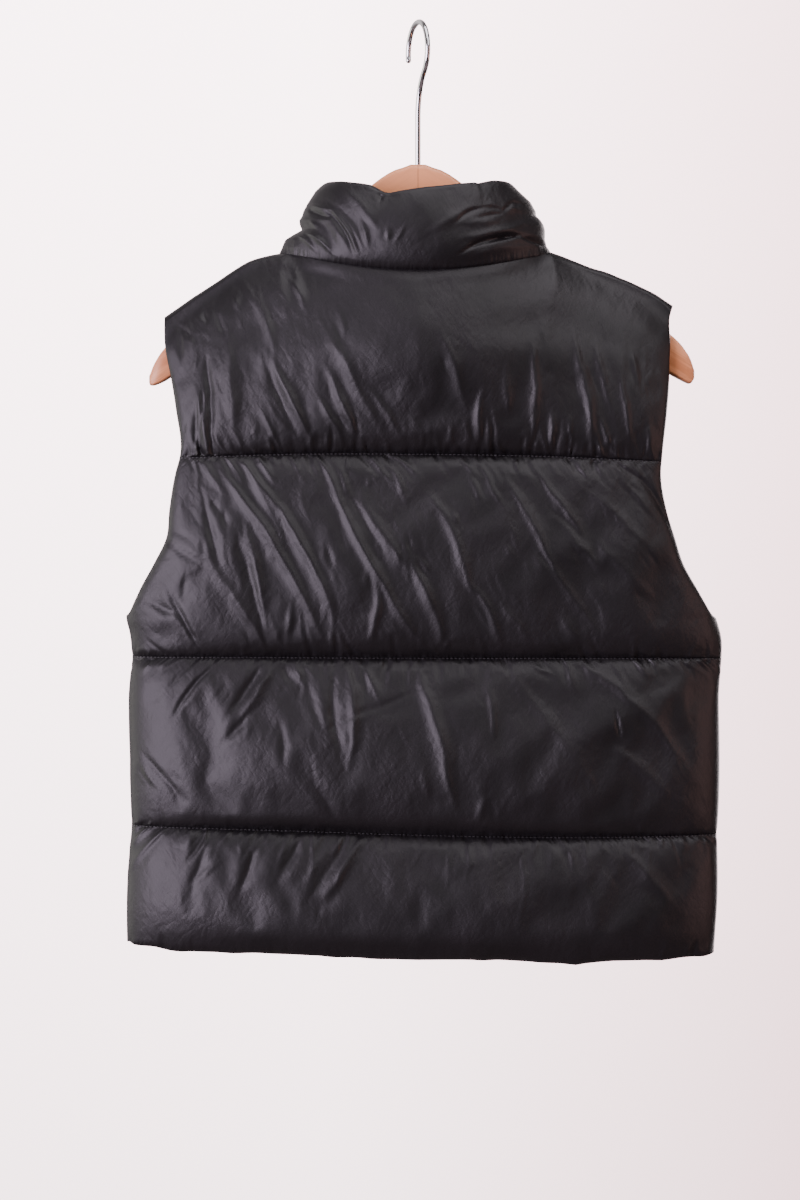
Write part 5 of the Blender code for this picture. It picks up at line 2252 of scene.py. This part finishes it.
@dataclass
class HangerArms:
    """The curved wooden arms, one bar with rounded edges."""

    reach: Pair = (0.1712, 0.1762)
    half_thickness: float = 0.006
    edge_round: float = 0.0036
    tip_round: float = 0.010
    tip_share: float = 0.3
    tip_steps: tuple[Pair, ...] = ((0.0004, 0.86), (0.0003, 0.66))
    stations: int = 56

    def draw_out(self, way: Vector, step: Vector, scale: Triple) -> None:
        """Extrudes one end of the bar and scales the new end about its own middle.

        Args:
            way: Which way that end looks.
            step: How far it goes.
            scale: How the new end is scaled.
        """
        bench = Bench("wooden_arms", bpy.context.view_layer.objects.active)
        bench.outermost(way)
        bpy.ops.mesh.extrude_region_move(TRANSFORM_OT_translate={"value": step})
        bench.done()
        end = bench.reach(way)
        heights = [vertex.co.z for vertex in bench.piece.data.vertices if vertex.co.dot(way) > end]
        middle = way * (end + HAIR) + Vector((0, 0, (max(heights) + min(heights)) / 2))
        bpy.ops.object.mode_set(mode="EDIT")
        bpy.ops.transform.resize(value=scale, center_override=middle)
        bench.done()

    def arm(self, side: Side, share: Points, first: float) -> None:
        """Draws the bar out to one tip, station by station.

        Args:
            side: The wearer's side.
            share: Each station's share of the arm's length.
            first: How far out the bar already goes.
        """
        x = np.maximum(self.reach[side is Side.RIGHT] * share, first)
        places, name = column(ARMS, "x"), side.name.lower()
        tops, bottoms = (through(x, places, column(ARMS, f"{name}_{edge}")) for edge in ("top", "bottom"))
        tops[:2], bottoms[:2] = ARMS[0].left_top, ARMS[0].left_bottom
        heights, middles = tops - bottoms, (tops + bottoms) / 2
        slimming = quarter_arc((x[-1] + self.tip_share * self.tip_round - x) / self.tip_round)
        way = Vector((side.value, 0, 0))
        for at in range(2, self.stations + 1):
            step = way * (x[at] - x[at - 1]) + Vector((0, 0, middles[at] - middles[at - 1]))
            slimmer, lower = slimming[at] / slimming[at - 1], heights[at] / heights[at - 1]
            self.draw_out(way, step, (1, slimmer, lower))
        for reach, scale in self.tip_steps:
            self.draw_out(way, way * reach, (1, scale, scale))

    def build(self) -> Piece:
        """The arms: a block in the middle, drawn out to both tips.

        Returns:
            The arms as one piece.
        """
        share = np.sin(np.linspace(0, math.pi / 2, self.stations + 1))
        first = float(self.reach[0] * share[1])
        top, bottom = ARMS[0].left_top, ARMS[0].left_bottom
        size = (2 * first, 2 * self.half_thickness, top - bottom)
        bench = Bench("wooden_arms").block(size, (0, 0, (top + bottom) / 2))
        bench.pick("EDGE", lambda a, b: abs(a.x - b.x) > first)
        bpy.ops.mesh.bevel(offset=self.edge_round, segments=5, affect="EDGES")
        bench.done()
        for side in Side:
            self.arm(side, share, first)
        bpy.ops.object.shade_smooth_by_angle(angle=PIECE_SHARP)
        return bench.piece


# --- The studio -----------------------------------------------------------------------------------


class Lamp(NamedTuple):
    """A soft light that faces the vest, its power in watts."""

    name: str
    place: Triple
    width: float
    height: float
    power: float
    colour: Triple


LAMPS = (
    Lamp("window", (-2.12, -2.0, -0.35), 2.25, 1.9, 114.0, (1.0, 0.86, 1.05)),
    Lamp("left_wall", (-2.9, 0.5, -0.35), 1.8, 2.2, 26.0, (1.0, 1.0, 0.92)),
    Lamp("fill", (2.6, -0.9, -0.4), 1.2, 2.0, 16.0, (1.0, 0.57, 0.52)),
    Lamp("ceiling", (0.2, -0.9, 2.0), 2.2, 2.2, 44.0, (1.0, 0.94, 1.0)),
    Lamp("far_window", (1.5, 2.3, -0.1), 1.6, 2.0, 60.0, (1.0, 0.90, 0.92)),
    Lamp("wash", (1.4, -2.1, 1.3), 1.6, 1.2, 16.0, (1.0, 0.95, 1.0)),
)


@dataclass(frozen=True)
class Studio:
    """A pale room with a big window on the left, a floor and the camera behind the vest."""

    eye: Triple = (-0.0115, -2.4, -0.368)
    target: Triple = (0, 0, -0.35)
    lens: float = 112.5
    sensor: float = 36.0
    wall_way: Triple = (-0.5, 0.86, 0.0)
    wall_blend: Pair = (0.25, 0.95)
    room: float = 0.14
    wall: float = 1.1
    shade_blend: Pair = (-0.45, 0.15)
    shade: float = 0.3
    light: Triple = (0.95, 0.87, 0.88)
    # The backdrop's colours to the eye: the right one is darker, painted shade where less light falls on the
    # wall.
    seen_left: Triple = (0.98, 0.79, 0.825)
    seen_right: Triple = (0.57, 0.37, 0.395)
    floor_z: float = -1.05
    floor_radius: float = 1.5

    def build(self) -> None:
        """Adds the camera, the world, the lights and the floor."""
        camera = bpy.data.cameras.new("camera")
        camera.lens = self.lens
        camera.sensor_fit = "VERTICAL"
        camera.sensor_width = camera.sensor_height = self.sensor
        held = bpy.data.objects.new("camera", camera)
        held.location = self.eye
        held.rotation_euler = (math.pi / 2, 0, 0)
        bpy.context.scene.collection.objects.link(held)
        bpy.context.scene.camera = held
        self.world()
        for lamp in LAMPS:
            self.hang(lamp)
        self.floor()

    def world(self) -> None:
        """A pale wall to the eye with painted shade, darker to the right and lower down, and soft light all
        round.
        """
        world = bpy.data.worlds.new("pale_room")
        world.use_nodes = True
        made = NodeTree(world.node_tree)
        made.tree.nodes.clear()
        way = made.node("TexCoord").outputs["Generated"]
        parts = made.node("SeparateXYZ", {"Vector": way}).outputs
        behind = made.node("VectorMath", {0: way, 1: self.wall_way}, operation="DOT_PRODUCT")
        wall = made.ranged(behind.outputs["Value"], *self.wall_blend, self.room, self.wall, soft=True)
        low = made.ranged(parts["Z"], *self.shade_blend, self.shade, 1.0)
        strength = made.maths("MULTIPLY", wall, low)
        lighting = made.node("Background", {"Color": (*self.light, 1), "Strength": strength})
        # Painted shade on the backdrop: its colour darkens towards the right, and its strength falls lower
        # down.
        right = made.ranged(parts["X"], -0.02, 0.13, 0.0, 1.0)
        colours = {0: right, 6: (*self.seen_left, 1), 7: (*self.seen_right, 1)}
        colour = made.node("Mix", colours, data_type="RGBA").outputs[2]
        seen_strength_painted_shade = made.ranged(parts["Z"], -0.17, 0.17, 4.6, 8.0)
        seen = made.node("Background", {"Color": colour, "Strength": seen_strength_painted_shade})
        rays = made.node("LightPath").outputs["Is Camera Ray"]
        mixed = made.node("MixShader", {0: rays, 1: lighting.outputs[0], 2: seen.outputs[0]})
        made.node("OutputWorld", {"Surface": mixed.outputs["Shader"]})
        bpy.context.scene.world = world

    def hang(self, lamp: Lamp) -> None:
        """Adds one light.

        Args:
            lamp: Its place, size, power and colour.
        """
        light = bpy.data.lights.new(lamp.name, "AREA")
        light.shape = "RECTANGLE"
        light.size, light.size_y = lamp.width, lamp.height
        light.energy, light.color = lamp.power, lamp.colour
        held = bpy.data.objects.new(lamp.name, light)
        held.location = lamp.place
        aim = Vector(self.target) - Vector(lamp.place)
        held.rotation_euler = aim.to_track_quat("-Z", "Y").to_euler()
        bpy.context.scene.collection.objects.link(held)

    def floor(self) -> None:
        """Adds a round pale floor below the vest."""
        bench = Bench("studio_floor")
        bpy.ops.mesh.primitive_circle_add(
            vertices=96, radius=self.floor_radius, fill_type="NGON", location=(0, 0, self.floor_z)
        )
        bench.start()
        paint = Recipe("pale_floor", (0.16, 0.13, 0.13), 0.8)
        paint.link(paint.spread(paint.noise(paint.place((3, 3, 3)), 2), 0.7, 0.9), "Roughness")
        paint.set(emission_color=(1.0, 0.80, 0.84, 1))
        seen = paint.node("LightPath").outputs["Is Camera Ray"]
        paint.link(paint.spread(seen, 0.0, 3.4), "Emission Strength")
        far = paint.node("VectorMath", {0: paint.place((1, 1, 0))}, operation="LENGTH").outputs["Value"]
        edge = paint.ranged(far, 0.5 * self.floor_radius, self.floor_radius, 1.0, 0.0, soft=True)
        paint.link(edge, "Alpha")
        bench.piece.data.materials.append(paint.material)


# --- Putting it together --------------------------------------------------------------------------


@dataclass
class PufferVest:
    """The vest on its hanger, built piece by piece around the CAD model."""

    nylon: Material = field(default_factory=lambda: ShellNylon().material())
    thread: Material = field(default_factory=lambda: Thread().material())
    settling: ClothSettling = field(default_factory=ClothSettling)
    panel_grip: Pair = (0.02, 0.12)
    collar_grip: Pair = (0.06, 0.15)
    yoke_z: float = -0.238
    yoke_blend: float = 0.03
    yoke_calm: float = 0.85
    lining_step: int = 3

    def dress(self, piece: Piece, nodes: tuple[str, ...], body: str, finish: Material) -> None:
        """Gives a piece its finish, its body and the nodes that it stands for.

        Args:
            piece: The piece.
            nodes: The CAD nodes that it replaces.
            body: The body that it rides on.
            finish: Its material.
        """
        piece.data.materials.clear()
        piece.data.materials.append(finish)
        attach(piece, body)
        if nodes:
            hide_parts(*nodes)
        LOG.info("%s: %d faces", piece.name, len(piece.data.polygons))

    def shell(self, name: str, grid: ClothGrid, inner: Points, outer: Points, node: str) -> None:
        """Builds a padded shell.

        Args:
            name: Its name.
            grid: What it is made from.
            inner: Rows of points on its inside.
            outer: Rows of points on its outside.
            node: The CAD node that it replaces.
        """
        made = cloth_shell(name, inner, outer, grid.direction, self.lining_step)
        keep_seams(made, grid)
        self.dress(made, (node,), "garment", self.nylon)

    def quilted(self, panel: QuiltedPanel, node: str) -> ClothGrid:
        """Builds a panel and its stitches.

        Args:
            panel: The panel's shape and folds.
            node: The CAD node that it replaces.

        Returns:
            The panel's grid.
        """
        grid = panel.grid()
        outer = panel.creased(grid)
        held = self.settling.grip(grid, *self.panel_grip)
        held[: panel.crown_rows + 2] = 1
        moved = self.settling.settled(outer, held)
        yoke = self.yoke_calm * smooth((outer[..., 2:] - self.yoke_z) / self.yoke_blend)
        outer = moved + (outer - moved) * yoke
        self.shell(panel.name, grid, grid.inner, outer, node)
        stitching = Stitching()
        frames = [stitching.row(outer[row + 1], grid.direction[row + 1]) for row in panel.line_rows()]
        threads = copies(f"{panel.name}_stitches", stitching.stitch(), np.concatenate(frames))
        self.dress(threads, (), "garment", self.thread)
        return grid

    def fronts(self) -> ClothGrid:
        """Builds both fronts.

        Returns:
            The right one's grid.
        """
        mirrored = tuple(fold._replace(x=-fold.x, end_x=-fold.end_x, bow=-fold.bow) for fold in FRONT_CREASES)
        sizes, made = (StandCollar.front_drop, FORM.centre_edge), {}
        for side, creases, seed in ((Side.RIGHT, FRONT_CREASES, 17), (Side.LEFT, mirrored, 23)):
            name = f"front_{side.name.lower()}"
            kept = (f"quilted_{name}", Facing.FRONT, (side,), *sizes)
            made[side] = self.quilted(QuiltedPanel(*kept, creases, FRONT_PUCKERS, seed), name)
        return made[Side.RIGHT]

    def collar(self) -> ClothGrid:
        """Builds the collar.

        Returns:
            Its right front quarter.
        """
        collar = StandCollar()
        grid = collar.grid()
        inner, outer = collar.slouched(grid)
        outer = self.settling.settled(outer, self.settling.grip(grid, *self.collar_grip))
        self.shell(collar.name, grid, inner, outer, "collar")
        front = (FORM.centre_edge, collar.front_drop, collar.front_top_z)
        return collar.quarter(Side.RIGHT, Facing.FRONT, *front)

    def zip(self, collar: ClothGrid, front: ClothGrid) -> None:
        """Builds the zip's tapes, teeth, slider and pull tab.

        Args:
            collar: The collar's right front quarter.
            front: The right front.
        """
        fastener = ZipFastener(collar, front)
        woven = ZipTape().material()
        for side in Side:
            tape = fastener.tape(side)
            self.dress(tape, (f"zip_tape_{side.name.lower()}",), "garment", woven)
        teeth = fastener.teeth()
        plastic = ToothPlastic().material()
        self.dress(teeth, ("zip_chain",), "garment", plastic)
        self.dress(fastener.box(), (), "garment", plastic)
        enamel = SliderEnamel().material()
        self.dress(fastener.slider(), ("zip_slider",), "garment", enamel)
        self.dress(fastener.pull_tab(), ("zip_pull_tab",), "pull_tab", enamel)

    def hanger(self) -> None:
        """Builds the wooden arms and the hook."""
        self.dress(HangerArms().build(), ("hanger_arms",), "garment", HangerWood().material())
        self.dress(Hook().build(), ("hanger_hook",), "garment", HookSteel().material())

    def build(self) -> None:
        """Builds every piece in order."""
        kept = ("quilted_back", Facing.BACK, (Side.LEFT, Side.RIGHT), StandCollar.back_drop, 0.0)
        back = QuiltedPanel(*kept, BACK_CREASES, BACK_PUCKERS, 5, hem_sag=HEM_SAG)
        self.quilted(back, "back")
        front = self.fronts()
        collar = self.collar()
        self.zip(collar, front)
        self.hanger()


def main() -> None:
    """Builds the studio and the vest."""
    logging.basicConfig(level=logging.INFO)
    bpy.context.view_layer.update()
    Studio().build()
    PufferVest().build()


if __name__ == "__main__":
    main()
